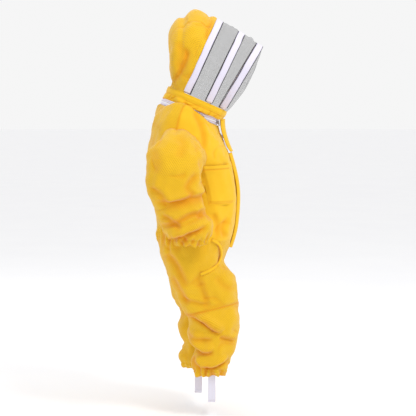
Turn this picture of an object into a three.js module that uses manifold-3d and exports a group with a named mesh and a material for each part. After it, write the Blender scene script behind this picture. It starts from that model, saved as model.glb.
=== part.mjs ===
// A child's one-piece beekeeping suit: ventilated fabric body, sleeves and legs, and a hood with a
// net veil on three sprung hoops, joined to the collar by a zip that runs round the neck.
// Millimetres, +Z up. The suit faces -Y and its own right side is at -X. The origin is the middle
// of the neck opening. Every panel is one closed solid with the thickness of its cloth.
import * as THREE from "three";
import { mergeVertices } from "three/addons/utils/BufferGeometryUtils.js";
import Module from "manifold-3d";

// ---- driving dimensions ----
const CLEARANCE = 0.3; // between pieces that touch
const CLOTH_GAP = 0.7; // between two stretches of one sleeve or leg
const LOOSE = 1.5; // between curved layers that lie in each other
const FABRIC = 4; // three-layer ventilated cloth
const LINING = 1.2; // single cotton layer: pocket bags
const WEBBING = 1.2; // woven tape and elastic
const NET = 1; // veil net
const ROUNDNESS = 2.6; // superellipse power of the body sections
const RIGHT = -1;
const LEFT = 1;

const NECK_RADIUS = 84; // the circle that the neck zip follows
const NECK_TILT = THREE.MathUtils.degToRad(20.4);
const NECK_CENTRE = new THREE.Vector2(4, -7); // y, z
const BAND_TILT = THREE.MathUtils.degToRad(23.5);
const BAND_CENTRE = new THREE.Vector2(-18, 29);
const BAND_HALF_WIDTH = 88;
const BAND_HALF_DEPTH = 86;

const ZIP_TAPE = 8; // width of one tape of the neck zip
const ZIP_TEETH = 0.9; // height of one row of teeth
const SKIRT_HEIGHT = 15; // loose cloth between zip and hood band
const BAND_HEIGHT = 15.5;

const HOOP_TAPE = 17; // width of the white tape over each hoop
const WIRE_DIAMETER = 3;
const HOOP_HALF_WIDTH = 103;
const HOOD_HALF_WIDTH_BACK = 53;

const ARMHOLE_PLANE = 118; // half-width of the body where the sleeves are set in
const SHOULDER_Z = -103; // height of the armhole's middle
const ARMHOLE_HEIGHT = 132;
const UNDERARM_Z = SHOULDER_Z - ARMHOLE_HEIGHT / 2;
const UPPER_SLEEVE_LENGTH = 76; // underarm to elbow
const LOWER_SLEEVE_LENGTH = 105;
const ELBOW_Z = UNDERARM_Z - UPPER_SLEEVE_LENGTH;
const WRIST_Z = ELBOW_Z - LOWER_SLEEVE_LENGTH;
const WAIST_Z = -332;
const HIP_Z = -374;
const THIGH_LENGTH = 176;
const SHIN_LENGTH = 168;
const KNEE_Z = HIP_Z - THIGH_LENGTH;
const ANKLE_Z = KNEE_Z - SHIN_LENGTH;
const STRIDE = 36; // how far the left ankle stands behind the right one

const FRONT_ARC_RADIUS = 383; // the front closure follows this arc in the middle plane
const FRONT_ARC_CENTRE = new THREE.Vector2(255, -244);
const ZIP_TOP_Z = -56;
const ZIP_BOTTOM_Z = -362;
const ZIP_HALF_WIDTH = 12; // from the zip's middle to the panel's edge
const PLACKET_STAND_OFF = 8; // room for the slider under the placket
const PLACKET_TOP_Z = -114;

const POCKET_DEPTH = 7.5; // how far a filled patch pocket stands off the chest
const STRAP_WIDTH = 19;
const STRAP_DROP = 86;

const wasm = await Module();
wasm.setup();

// ---- geometry helpers ----

// Closes a mapped geometry: shared vertices merged and faces turned out.
function closed(geometry) {
  for (const name of ["normal", "uv"]) geometry.deleteAttribute(name);
  const merged = mergeVertices(geometry, 1e-3);
  const p = merged.attributes.position;
  const index = merged.index.array;
  const [a, b, c] = [new THREE.Vector3(), new THREE.Vector3(), new THREE.Vector3()];
  let volume = 0;
  for (let i = 0; i < index.length; i += 3) {
    a.fromBufferAttribute(p, index[i]);
    b.fromBufferAttribute(p, index[i + 1]);
    c.fromBufferAttribute(p, index[i + 2]);
    volume += a.dot(b.cross(c));
  }
  if (volume < 0)
    for (let i = 0; i < index.length; i += 3)
      [index[i + 1], index[i + 2]] = [index[i + 2], index[i + 1]];
  return merged;
}

function mapped(geometry, place) {
  const p = geometry.attributes.position;
  for (let i = 0; i < p.count; i++) {
    const q = place(p.getX(i), p.getY(i), p.getZ(i));
    p.setXYZ(i, q.x, q.y, q.z);
  }
  return closed(geometry);
}

// A point at a depth under a surface, measured along its normal.
function under(surface, u, v, depth) {
  const step = 1e-3;
  const at = surface(u, v);
  const du = surface(u + step, v).sub(surface(u - step, v));
  const dv = surface(u, v + step).sub(surface(u, v - step));
  return at.addScaledVector(du.cross(dv).normalize(), -depth);
}

// A sheet with a wall: surface(u, v) for u and v from 0 to 1, its outer side facing du x dv.
function sheet(surface, across, along, top, bottom) {
  const box = new THREE.BoxGeometry(1, 1, 1, across, along, 1);
  return mapped(box, (x, y, z) => under(surface, x + 0.5, y + 0.5, z > 0 ? top : bottom));
}

// A ring with a wall: place(turn, v, outer) closes on itself as turn goes from 0 to 1.
function wallRing(around, along, place) {
  const outline = [];
  for (let k = 0; k <= along; k++) outline.push(new THREE.Vector2(3, k / along));
  for (let k = along; k >= 0; k--) outline.push(new THREE.Vector2(2, k / along));
  outline.push(outline[0].clone());
  const lathe = new THREE.LatheGeometry(outline, around);
  return mapped(lathe, (x, y, z) =>
    place(Math.atan2(x, z) / (2 * Math.PI), y, Math.hypot(x, z) > 2.5));
}

// A tube of cloth: surface(turn, v), with its wall between two depths under the surface.
function tube(surface, around, along, top, bottom) {
  return wallRing(around, along, (turn, v, outer) => under(surface, turn, v, outer ? top : bottom));
}

// A bar with the given outline, its ends closed: place(x, y, t) for t from 0 to 1.
function bar(outline, steps, place) {
  const shape = new THREE.Shape(outline.map(([x, y]) => new THREE.Vector2(x, y)));
  const straight = new THREE.ExtrudeGeometry(shape, { depth: 1, steps, bevelEnabled: false });
  return mapped(straight, place);
}

const rectangle = (x0, x1, y0, y1) => [[x0, y0], [x1, y0], [x1, y1], [x0, y1]];

function circle(radius, sides) {
  return Array.from({ length: sides }, (_, k) => {
    const angle = (2 * Math.PI * k) / sides;
    return [radius * Math.cos(angle), radius * Math.sin(angle)];
  });
}

function toSolid(geometry) {
  return new wasm.Manifold(
    new wasm.Mesh({
      numProp: 3,
      vertProperties: geometry.attributes.position.array,
      triVerts: new Uint32Array(geometry.index.array),
    }),
  );
}

function toGeometry(solid) {
  const mesh = solid.getMesh();
  return new THREE.BufferGeometry()
    .setAttribute("position", new THREE.BufferAttribute(new Float32Array(mesh.vertProperties), 3))
    .setIndex(new THREE.BufferAttribute(new Uint32Array(mesh.triVerts), 1));
}

function cut(geometry, ...cutters) {
  let solid = toSolid(geometry);
  for (const cutter of cutters) solid = solid.subtract(toSolid(cutter));
  return toGeometry(solid);
}

function block(x0, x1, y0, y1, z0, z1) {
  const box = new THREE.BoxGeometry(x1 - x0, y1 - y0, z1 - z0);
  box.translate((x0 + x1) / 2, (y0 + y1) / 2, (z0 + z1) / 2);
  return closed(box);
}

const lerp = THREE.MathUtils.lerp;
const degrees = THREE.MathUtils.degToRad;
const power = (value, exponent) => Math.sign(value) * Math.abs(value) ** exponent;

// A smooth curve of value against height through its stations, highest first.
function profile(...stations) {
  const last = stations.length - 1;
  const slope = (i) => {
    const a = stations[Math.max(i - 1, 0)];
    const b = stations[Math.min(i + 1, last)];
    return (b[1] - a[1]) / (b[0] - a[0]);
  };
  return (z) => {
    let i = 0;
    while (i < last - 1 && z < stations[i + 1][0]) i++;
    const [[z0, f0], [z1, f1]] = [stations[i], stations[i + 1]];
    const t = THREE.MathUtils.clamp((z - z0) / (z1 - z0), -0.2, 1.2);
    const width = z1 - z0;
    const [a, b] = [t * t * t, t * t];
    return (
      (2 * a - 3 * b + 1) * f0 +
      (a - 2 * b + t) * width * slope(i) +
      (3 * b - 2 * a) * f1 +
      (a - b) * width * slope(i + 1)
    );
  };
}

// ---- the body's shape ----
const frontY = (z) =>
  FRONT_ARC_CENTRE.x - Math.sqrt(FRONT_ARC_RADIUS ** 2 - (z - FRONT_ARC_CENTRE.y) ** 2);

const YOKE_Z = -60; // where the shoulder yoke turns into the straight body
const bodyHalfWidth = profile([YOKE_Z, 128], [-100, 138], [-140, 131], [-172, 117.5], [-214, 111],
  [-308, 112], [HIP_Z, 117]);
const bodySeamY = profile([YOKE_Z, 38], [-120, 40], [-172, 30], [-250, 5], [HIP_Z, -12]);
const bodyBackY = profile([YOKE_Z, 108], [-110, 116], [-176, 110], [-258, 99], [-308, 90],
  [HIP_Z, 86]);

// Angle 0 is the front, 90 degrees the suit's right side, 180 the back.
function bodySection(angle, z) {
  const seam = bodySeamY(z);
  const reach = Math.cos(angle) > 0 ? seam - frontY(z) : bodyBackY(z) - seam;
  return new THREE.Vector3(
    -bodyHalfWidth(z) * power(Math.sin(angle), 2 / ROUNDNESS),
    seam - reach * power(Math.cos(angle), 2 / ROUNDNESS),
    z,
  );
}

// The collar: the neck zip's circle from height 0, then the skirt eases it into the squarer band.
const ZIP_JOIN = ZIP_TAPE + ZIP_TEETH + CLEARANCE; // where the hood's half of the zip begins
const SKIRT_BOTTOM = ZIP_JOIN + ZIP_TAPE + ZIP_TEETH + CLEARANCE;
const BAND_BOTTOM = SKIRT_BOTTOM + SKIRT_HEIGHT + CLEARANCE;
const BAND_TOP = BAND_BOTTOM + BAND_HEIGHT + CLEARANCE;
function collar(angle, height, out = 0) {
  const square = THREE.MathUtils.clamp((height - SKIRT_BOTTOM) / SKIRT_HEIGHT, 0, 1);
  const tilt = lerp(NECK_TILT, BAND_TILT, square);
  const exponent = 2 / lerp(2, ROUNDNESS, square);
  const width = lerp(NECK_RADIUS, BAND_HALF_WIDTH, square) + out;
  const depth = lerp(NECK_RADIUS, BAND_HALF_DEPTH, square) + out;
  const forward = depth * power(Math.cos(angle), exponent);
  const middle = alongAxis(NECK_CENTRE, NECK_TILT, height)
    .lerp(alongAxis(BAND_CENTRE, BAND_TILT, height - (BAND_BOTTOM + BAND_HEIGHT / 2)), square);
  return new THREE.Vector3(
    -width * power(Math.sin(angle), exponent),
    middle.x - forward * Math.cos(tilt),
    middle.y - forward * Math.sin(tilt),
  );
}

// A point in the middle plane (y, z), a height along the axis of a ring tilted down to the front.
function alongAxis(centre, tilt, height) {
  return new THREE.Vector2(-Math.sin(tilt), Math.cos(tilt)).multiplyScalar(height).add(centre);
}

// Body surface from the neck (v = 0) over the shoulders to the hips (v = 1).
const YOKE_SHARE = 0.22;
function bodySurface(angle, v) {
  if (v > YOKE_SHARE)
    return bodySection(angle, lerp(YOKE_Z, HIP_Z, (v - YOKE_SHARE) / (1 - YOKE_SHARE)));
  const t = v / YOKE_SHARE;
  const neck = collar(angle, 0);
  const chest = bodySection(angle, YOKE_Z);
  const shoulder = neck.clone().lerp(chest, 0.9).setZ(neck.z - 19);
  return neck
    .multiplyScalar((1 - t) ** 2)
    .addScaledVector(shoulder, 2 * t * (1 - t))
    .addScaledVector(chest, t * t);
}

// A body panel between two seam angles.
function bodyPanel(from, to, across, along) {
  const surface = (u, v) => bodySurface(degrees(lerp(from, to, u)), v);
  return sheet(surface, across, along, 0, FABRIC);
}

// ---- the sleeves' shape ----
const SLEEVE_INNER = ARMHOLE_PLANE + 3;
const sleeveHalfWidth = profile([UNDERARM_Z, 44], [ELBOW_Z + 20, 42], [ELBOW_Z - 15, 38],
  [WRIST_Z + 50, 40], [WRIST_Z + 23, 35], [WRIST_Z, 27]);
const sleeveMiddleX = profile([UNDERARM_Z, SLEEVE_INNER + 47], [ELBOW_Z + 20, SLEEVE_INNER + 45],
  [ELBOW_Z - 15, SLEEVE_INNER + 42], [WRIST_Z + 50, SLEEVE_INNER + 43],
  [WRIST_Z, SLEEVE_INNER + 39]);
const sleeveMiddleY = profile([UNDERARM_Z, 44], [ELBOW_Z + 53, 39], [ELBOW_Z + 20, 34],
  [ELBOW_Z - 13, 25], [WRIST_Z + 59, 8], [WRIST_Z + 42, 5], [WRIST_Z, 4]);
const sleeveHalfDepth = profile([UNDERARM_Z, 75], [ELBOW_Z + 53, 75], [ELBOW_Z + 20, 69],
  [ELBOW_Z - 13, 64], [WRIST_Z + 59, 68], [WRIST_Z + 42, 68], [WRIST_Z + 23, 60],
  [WRIST_Z + 9, 42], [WRIST_Z, 29]);
const CAP_LENGTH = 90; // run of the rounded sleeve head, from the armhole to the underarm
const ARMHOLE_HALF_DEPTH = 70;
const UNDERARM_RISE = 14; // the underarm curve's height and width
const UNDERARM_EASE = 3;

// angle 0 is the inner side, 90 degrees the back. Runs below 0 are the sleeve head.
function sleeveSection(side, angle, run) {
  if (run >= 0) {
    const z = UNDERARM_Z - run;
    return new THREE.Vector3(
      side * (sleeveMiddleX(z) - sleeveHalfWidth(z) * Math.cos(angle)),
      sleeveMiddleY(z) + sleeveHalfDepth(z) * Math.sin(angle),
      z,
    );
  }
  const turn = 1 + run / CAP_LENGTH; // 0 at the armhole, 1 at the underarm
  const size = lerp((ARMHOLE_HEIGHT - UNDERARM_RISE) / 2, sleeveHalfWidth(UNDERARM_Z), turn);
  const reach = size * (1 - Math.cos(angle));
  const direction = (turn * Math.PI) / 2;
  return new THREE.Vector3(
    side * (SLEEVE_INNER + UNDERARM_EASE * turn * turn + reach * Math.sin(direction)),
    lerp(37, sleeveMiddleY(UNDERARM_Z), turn) +
      lerp(ARMHOLE_HALF_DEPTH, sleeveHalfDepth(UNDERARM_Z), turn) * Math.sin(angle),
    UNDERARM_Z + UNDERARM_RISE * (1 - turn) + reach * Math.cos(direction),
  );
}

// A stretch of sleeve between two slanted rings; back is how much lower its back edge is.
function sleevePiece(side, from, to, along, top = 0, bottom = FABRIC) {
  const surface = (turn, v) => {
    const angle = side * turn * 2 * Math.PI;
    const [start, end] = [from, to].map((ring) => ring.run + ring.back * Math.sin(angle));
    return sleeveSection(side, angle, lerp(start, end, v));
  };
  return tube(surface, 18, along, top, bottom);
}

// ---- the legs' shape ----
const legHalfWidth = profile([HIP_Z, 57], [HIP_Z - 66, 57], [KNEE_Z + 20, 54], [KNEE_Z - 50, 52],
  [ANKLE_Z + 68, 48], [ANKLE_Z + 28, 42], [ANKLE_Z, 34]);
const legMiddleY = profile([HIP_Z, -9], [HIP_Z - 33, -19], [HIP_Z - 66, -30], [HIP_Z - 99, -40],
  [KNEE_Z + 44, -48], [KNEE_Z + 20, -54], [KNEE_Z - 15, -66], [KNEE_Z - 50, -67],
  [ANKLE_Z + 78, -66], [ANKLE_Z + 28, -54], [ANKLE_Z, -55]);
const legHalfDepth = profile([HIP_Z, 95], [HIP_Z - 33, 93], [HIP_Z - 66, 91], [HIP_Z - 99, 88],
  [KNEE_Z + 44, 84], [KNEE_Z + 20, 80], [KNEE_Z - 15, 68], [KNEE_Z - 50, 66],
  [ANKLE_Z + 78, 57], [ANKLE_Z + 28, 45], [ANKLE_Z, 36]);
const LEG_MIDDLE_X = 59.5;
const LEG_ROUNDNESS = 2.3;

// angle 0 is the front, 90 degrees the outer side.
const strideY = (side, z) => (side === LEFT ? (STRIDE * (HIP_Z - z)) / (HIP_Z - ANKLE_Z) : 0);
function legSection(side, angle, z) {
  return new THREE.Vector3(
    side * (LEG_MIDDLE_X + legHalfWidth(z) * power(Math.sin(angle), 2 / LEG_ROUNDNESS)),
    strideY(side, z) + legMiddleY(z) - legHalfDepth(z) * power(Math.cos(angle), 2 / LEG_ROUNDNESS),
    z,
  );
}

// A stretch of leg between two slanted rings, each with its front and back height.
function legPiece(side, from, to, along, top = 0, bottom = FABRIC) {
  const surface = (turn, v) => {
    const angle = -side * turn * 2 * Math.PI;
    const [high, low] = [from, to].map((ring) => {
      const share = (1 - Math.cos(angle)) / 2;
      return lerp(ring.front, ring.back, share);
    });
    return legSection(side, angle, lerp(high, low, v));
  };
  return tube(surface, 18, along, top, bottom);
}

// ---- the hood's shape ----
const HOOPS = {
  rear: { angle: 107, halfWidth: HOOP_HALF_WIDTH, top: new THREE.Vector2(-83, 250) },
  middle: { angle: 75, halfWidth: HOOP_HALF_WIDTH, top: new THREE.Vector2(-142, 216) },
  front: { angle: 38, halfWidth: HOOP_HALF_WIDTH - 9, top: new THREE.Vector2(-191, 184) },
};
const HOOP_FORWARD = new THREE.Vector3(0, -0.865, -0.502); // from hoop to hoop
const HOOP_STEPS = 20;
const SPRING = 0.75; // how high up a hoop is widest

// A horseshoe from the right base over the apex to the left base. base is the right foot.
function horseshoe(t, base, apex, halfWidth) {
  const foot = -base.x;
  const wide = Math.max(halfWidth, foot);
  const dip = Math.acos(foot / wide);
  const angle = lerp(-dip, Math.PI + dip, t);
  const waist = SPRING * Math.sin(dip);
  const sine = Math.sin(angle);
  const rise = sine > 0 ? waist + (1 - waist) * sine : waist + SPRING * sine;
  return new THREE.Vector3(
    -wide * Math.cos(angle),
    lerp(base.y, apex.x, rise),
    lerp(base.z, apex.y, rise),
  );
}

function hoopPoint(hoop, t) {
  return horseshoe(t, collar(degrees(hoop.angle), BAND_TOP), hoop.top, hoop.halfWidth);
}

// The tape and the wire follow the hoop: x runs forward, y out from the hoop.
function hoopBar(hoop, outline, steps, start) {
  return bar(outline, steps, (x, y, t) => {
    const at = lerp(start, 1 - start, t);
    const along = hoopPoint(hoop, at + 1e-3).sub(hoopPoint(hoop, at - 1e-3)).normalize();
    const out = HOOP_FORWARD.clone().cross(along).normalize();
    return hoopPoint(hoop, at).addScaledVector(HOOP_FORWARD, x).addScaledVector(out, y);
  });
}

const HOOD_SETBACK = HOOP_TAPE / 2 + 0.5; // from the rear hoop's middle to the hood's edge
const CROWN_SHARE = 0.33; // of the way over the head, where a side panel meets the crown
const HOOD_SEAM = 0.0015; // share left free on each side of that seam
const HOOD_APEX = new THREE.SplineCurve(
  [[HOOPS.rear.top.x + HOOD_SETBACK, 254], [-50, 263], [-14, 276], [25, 260], [49, 228], [56, 184], [54, 134], [49, 98]]
    .concat([[collar(Math.PI, BAND_TOP).y, collar(Math.PI, BAND_TOP).z]])
    .map(([y, z]) => new THREE.Vector2(y, z)),
);

// Hood cloth: t runs right to left over the head, v from the rear hoop to the nape.
function hoodSurface(t, v) {
  const setback = THREE.MathUtils.radToDeg((HOOD_SETBACK + 0.2) / BAND_HALF_WIDTH);
  const base = collar(degrees(lerp(HOOPS.rear.angle + setback, 150, v)), BAND_TOP);
  const halfWidth = lerp(HOOP_HALF_WIDTH, HOOD_HALF_WIDTH_BACK, v * v);
  return horseshoe(t, base, HOOD_APEX.getPoint(THREE.MathUtils.clamp(v, 0, 1)), halfWidth);
}

function hoodPanel(from, to, across) {
  return sheet((u, v) => hoodSurface(lerp(from, to, u), lerp(0.01, 0.985, v)), across, 9,
    0, FABRIC);
}

// Veil net between two hoops' tapes.
function veilStrip(behind, ahead) {
  const gap = HOOP_TAPE / 2 + LOOSE;
  return sheet((u, v) => {
    const t = lerp(0.012, 0.988, u);
    const a = hoopPoint(behind, t).addScaledVector(HOOP_FORWARD, gap);
    const b = hoopPoint(ahead, t).addScaledVector(HOOP_FORWARD, -gap);
    return a.lerp(b, 1 - v);
  }, HOOP_STEPS, 2, 0.5, 0.5 + NET);
}

// Net that closes the front hoop, bulging forward.
function veilFront() {
  const bulge = 16;
  const angle = HOOPS.front.angle;
  return sheet((u, v) => {
    const t = lerp(0.06, 0.94, u);
    const low = collar(degrees(lerp(angle, -angle, t)), BAND_TOP);
    const high = hoopPoint(HOOPS.front, t).addScaledVector(HOOP_FORWARD, HOOP_TAPE / 2 + LOOSE);
    const forward = bulge * Math.sin(Math.PI * v) * Math.sin(Math.PI * t);
    return low.lerp(high, lerp(0.02, 1, v)).addScaledVector(HOOP_FORWARD, forward);
  }, 14, 4, 0, NET);
}

// ---- front closure ----
const arcAngle = (z) => Math.asin((z - FRONT_ARC_CENTRE.y) / FRONT_ARC_RADIUS);

// A point on the front arc: r is the height over the cloth's outer face.
function onFront(x, r, angle) {
  return new THREE.Vector3(
    x,
    FRONT_ARC_CENTRE.x - (FRONT_ARC_RADIUS + r) * Math.cos(angle),
    FRONT_ARC_CENTRE.y + (FRONT_ARC_RADIUS + r) * Math.sin(angle),
  );
}

function frontBar(outline, topZ, bottomZ, steps) {
  const [high, low] = [arcAngle(topZ), arcAngle(bottomZ)];
  return bar(outline, steps, (x, y, t) => onFront(x, y, lerp(high, low, t)));
}

// A small piece that lies along the front arc at one height.
function frontPiece(outline, topZ, length) {
  return frontBar(outline, topZ, topZ - length, 1);
}

// One tape of the front zip with its row of teeth along the middle.
function zipTape(side) {
  const toothWidth = 1.5;
  const outline = [
    [CLEARANCE / 2, 0.2], [CLEARANCE / 2, -2.8],
    [toothWidth, -2.8], [toothWidth, -1 - WEBBING],
    [ZIP_HALF_WIDTH - CLEARANCE, -1 - WEBBING], [ZIP_HALF_WIDTH - CLEARANCE, -1],
    [toothWidth, -1], [toothWidth, 0.2],
  ];
  return frontBar(outline.map(([x, y]) => [side * x, y]), ZIP_TOP_Z, ZIP_BOTTOM_Z, 14);
}

// The placket: a flap over the zip, folded down to its seam on the left.
function placket() {
  const [edge, seam, thick] = [-15, 17, 1.6];
  const outline = [
    [edge, PLACKET_STAND_OFF], [seam - thick, PLACKET_STAND_OFF], [seam - thick, 1],
    [seam, 1], [seam, PLACKET_STAND_OFF + thick], [edge, PLACKET_STAND_OFF + thick],
  ];
  return frontBar(outline, PLACKET_TOP_Z, ZIP_BOTTOM_Z - 8, 12);
}

// The throat tab hangs from the hood skirt over the neck zip's ends and the front zip's top.
const TAB_HALF_WIDTH = 20;
const TAB_THICKNESS = 3;
const TAB_STAND_OFF = 12; // in front of the collar and of the body
const TAB_BOTTOM_Z = -108;
const skirtFront = collar(0, SKIRT_BOTTOM);
const TAB_LINE = new THREE.QuadraticBezierCurve(
  new THREE.Vector2(skirtFront.y - TAB_STAND_OFF, skirtFront.z + 1),
  new THREE.Vector2(skirtFront.y - TAB_STAND_OFF + 3, -54),
  new THREE.Vector2(frontY(TAB_BOTTOM_Z) - TAB_STAND_OFF, TAB_BOTTOM_Z),
);
function tabBar(outline, from, to, steps, round) {
  return bar(outline, steps, (x, y, t) => {
    const at = lerp(from, to, t);
    const point = TAB_LINE.getPoint(at);
    const along = TAB_LINE.getTangent(at);
    const narrow = round ? Math.sqrt(1 - THREE.MathUtils.clamp((at - 0.8) / 0.22, 0, 0.97) ** 2) : 1;
    return new THREE.Vector3(x * narrow, point.x + along.y * y, point.y - along.x * y);
  });
}

// ---- pockets ----

// A patch pocket: a tray on the chest, open at its top.
function chestPocket(side) {
  const [high, low, inner, outer] = [-142, -249, 24, 68];
  const edge = 1.6;
  const face = (inset, from, to) => (u, v) => {
    const t = side === RIGHT ? u : 1 - u;
    const angle = -side * degrees(lerp(inner + inset, outer - inset, t));
    return bodySection(angle, lerp(from, to, v));
  };
  const outside = sheet(face(0, high, low), 8, 6, -POCKET_DEPTH, -1.2);
  const inside = sheet(face(2, high + 12, low + edge), 8, 6, -POCKET_DEPTH + edge, 3);
  return cut(outside, inside);
}

// Hip pocket mouth in the side view: y, z from the front end round to the side seam.
const POCKET_MOUTH = new THREE.SplineCurve(
  [[-58, -338], [-77, -354], [-83, -374], [-82, -392], [-73, -411], [-54, -423], [-28, -434]]
    .map(([y, z]) => new THREE.Vector2(y, z)),
);

// Half-width of the hip at a depth and height: the body's above HIP_Z, eased into the leg's.
function hipX(side, y, z) {
  const width = (half, middle, reach, n) =>
    half * Math.max(1 - Math.abs((y - middle) / reach) ** n, 0) ** (1 / n);
  const body = width(bodyHalfWidth(z), bodySeamY(z), bodySeamY(z) - frontY(z), ROUNDNESS);
  const leg = LEG_MIDDLE_X +
    width(legHalfWidth(z), legMiddleY(z) + strideY(side, z), legHalfDepth(z), LEG_ROUNDNESS);
  return lerp(body, leg, THREE.MathUtils.smoothstep(-z, -HIP_Z - 26, -HIP_Z - 4));
}

// A point at a height over the hip's outer side.
function overHip(side, y, z, out) {
  const step = 0.5;
  const normal = new THREE.Vector3(
    1,
    (hipX(side, y - step, z) - hipX(side, y + step, z)) / (2 * step),
    (hipX(side, y, z - step) - hipX(side, y, z + step)) / (2 * step),
  ).normalize();
  const at = new THREE.Vector3(hipX(side, y, z), y, z).addScaledVector(normal, out);
  return at.setX(side * at.x);
}

function hipWelt(side) {
  return bar(rectangle(-3.5, 3.5, LOOSE, LOOSE + 2), 14, (x, y, t) => {
    const point = POCKET_MOUTH.getPoint(t);
    const along = POCKET_MOUTH.getTangent(t);
    return overHip(side, point.x - along.y * x + strideY(side, point.y), point.y + along.x * x, y);
  });
}

// Pocket bag hanging inside the hip.
function hipBag(side) {
  const halfWidth = 20;
  return bar(rectangle(-halfWidth, halfWidth, -LINING, 0), 6, (x, y, t) =>
    overHip(side, -38 + x, lerp(HIP_Z + 32, HIP_Z + 8, t), y - FABRIC - LOOSE));
}

// ---- foot straps ----
function footStrap(side) {
  const topZ = ANKLE_Z + 8;
  const halfWidth = 21;
  const corner = 12;
  const bottomZ = topZ - STRAP_DROP;
  const path = new THREE.CurvePath();
  const point = (x, z) => new THREE.Vector3(x, 0, z);
  path.add(new THREE.LineCurve3(point(-halfWidth, topZ), point(-halfWidth, bottomZ + corner)));
  path.add(new THREE.QuadraticBezierCurve3(point(-halfWidth, bottomZ + corner),
    point(-halfWidth, bottomZ), point(-halfWidth + corner, bottomZ)));
  path.add(new THREE.LineCurve3(point(-halfWidth + corner, bottomZ),
    point(halfWidth - corner, bottomZ)));
  path.add(new THREE.QuadraticBezierCurve3(point(halfWidth - corner, bottomZ),
    point(halfWidth, bottomZ), point(halfWidth, bottomZ + corner)));
  path.add(new THREE.LineCurve3(point(halfWidth, bottomZ + corner), point(halfWidth, topZ)));
  const middleY = legMiddleY(ANKLE_Z) + strideY(side, ANKLE_Z) - 4;
  return bar(rectangle(-STRAP_WIDTH / 2, STRAP_WIDTH / 2, -WEBBING / 2, WEBBING / 2), 28,
    (x, y, t) => {
      const at = path.getPoint(t);
      const along = path.getTangent(t);
      return new THREE.Vector3(
        side * LEG_MIDDLE_X + at.x - along.z * y,
        middleY + x,
        at.z + along.x * y,
      );
    });
}

// ---- materials ----
const cloth = (color, roughness = 0.9) =>
  new THREE.MeshStandardMaterial({ color, roughness, metalness: 0 });
const YELLOW = cloth(0xf2bd2e);
const YELLOW_COTTON = cloth(0xf4c436, 0.85);
const WHITE_TAPE = cloth(0xebe8f6, 0.8);
const BLACK_NET = new THREE.MeshStandardMaterial({
  color: 0x1b1b1e, roughness: 0.8, transparent: true, opacity: 0.35,
});
const STEEL = new THREE.MeshStandardMaterial({ color: 0xb8bac0, roughness: 0.35, metalness: 1 });

const suit = new THREE.Group();
function add(name, material, geometry) {
  const mesh = new THREE.Mesh(geometry, material);
  mesh.name = name;
  suit.add(mesh);
}

// ---- body ----
const seamGap = 0.08; // degrees left free at a side seam
const armSide = (side) => {
  const [near, far] = [ARMHOLE_PLANE * side, 400 * side];
  return block(Math.min(near, far), Math.max(near, far), -300, 300, -230, 60);
};
const frontSlot = block(-ZIP_HALF_WIDTH, ZIP_HALF_WIDTH, -300, 0, -500, 100);
add("back_panel", YELLOW,
  cut(bodyPanel(90 + seamGap, 270 - seamGap, 14, 13), armSide(LEFT), armSide(RIGHT)));
add("front_panel_right", YELLOW_COTTON,
  cut(bodyPanel(0, 90 - seamGap, 8, 13), armSide(RIGHT), frontSlot));
add("front_panel_left", YELLOW_COTTON,
  cut(bodyPanel(270 + seamGap, 360, 8, 13), armSide(LEFT), frontSlot));
add("waist_elastic", WHITE_TAPE, sheet(
  (u, v) => bodySection(degrees(lerp(105, 255, u)), lerp(WAIST_Z + 12, WAIST_Z - 12, v)), 12, 1,
  FABRIC + LOOSE, FABRIC + LOOSE + WEBBING));

// A ring of the collar between two heights and two distances out from the neck's circle.
const collarRing = (low, high, outer, inner) => wallRing(30, 1, (turn, v, outside) =>
  collar(-turn * 2 * Math.PI, lerp(low, high, v), outside ? outer : inner));
add("neck_zip_lower", WHITE_TAPE, collarRing(1, ZIP_TAPE + ZIP_TEETH, -1, -1 - WEBBING));
add("front_zip_tape_right", WHITE_TAPE, zipTape(RIGHT));
add("front_zip_tape_left", WHITE_TAPE, zipTape(LEFT));
add("front_zip_placket", YELLOW_COTTON, placket());
add("front_zip_stop", STEEL, frontPiece(rectangle(-3, 3, -2.6, 0.4), ZIP_BOTTOM_Z - CLEARANCE, 5));
const SLIDER_TOP_Z = ZIP_TOP_Z - 4;
add("front_zip_slider", STEEL, frontPiece(rectangle(-4.5, 4.5, 0.5, 4.4), SLIDER_TOP_Z, 13));
add("front_zip_pull", STEEL, frontPiece(rectangle(-3, 3, 4.7, 5.9), SLIDER_TOP_Z - 5, 17));

for (const [side, name] of [[RIGHT, "right"], [LEFT, "left"]]) {
  add("chest_pocket_" + name, YELLOW_COTTON, chestPocket(side));
  add("hip_pocket_welt_" + name, YELLOW_COTTON, hipWelt(side));
  add("hip_pocket_bag_" + name, YELLOW_COTTON, hipBag(side));
}

// ---- neck zip sliders ----
const SLIDER_ANGLE = 19; // degrees from the front, where the closed sliders meet the tab's edges
function neckPiece(side, outline, halfAngle) {
  return bar(outline, 1, (x, y, t) =>
    collar(-side * degrees(lerp(SLIDER_ANGLE - halfAngle, SLIDER_ANGLE + halfAngle, t)), y, x));
}
for (const [side, name] of [[RIGHT, "right"], [LEFT, "left"]]) {
  const teeth = ZIP_TAPE + ZIP_TEETH + CLEARANCE / 2;
  add("neck_zip_slider_" + name, STEEL,
    neckPiece(side, rectangle(0.8, 4.2, teeth - 4.5, teeth + 4.5), 3.6));
  const hang = [[4.6, teeth + 2], [5.8, teeth + 2], [11.4, teeth - 8], [10.2, teeth - 8]];
  add("neck_zip_pull_" + name, STEEL, neckPiece(side, hang, 1.9));
}

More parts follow.
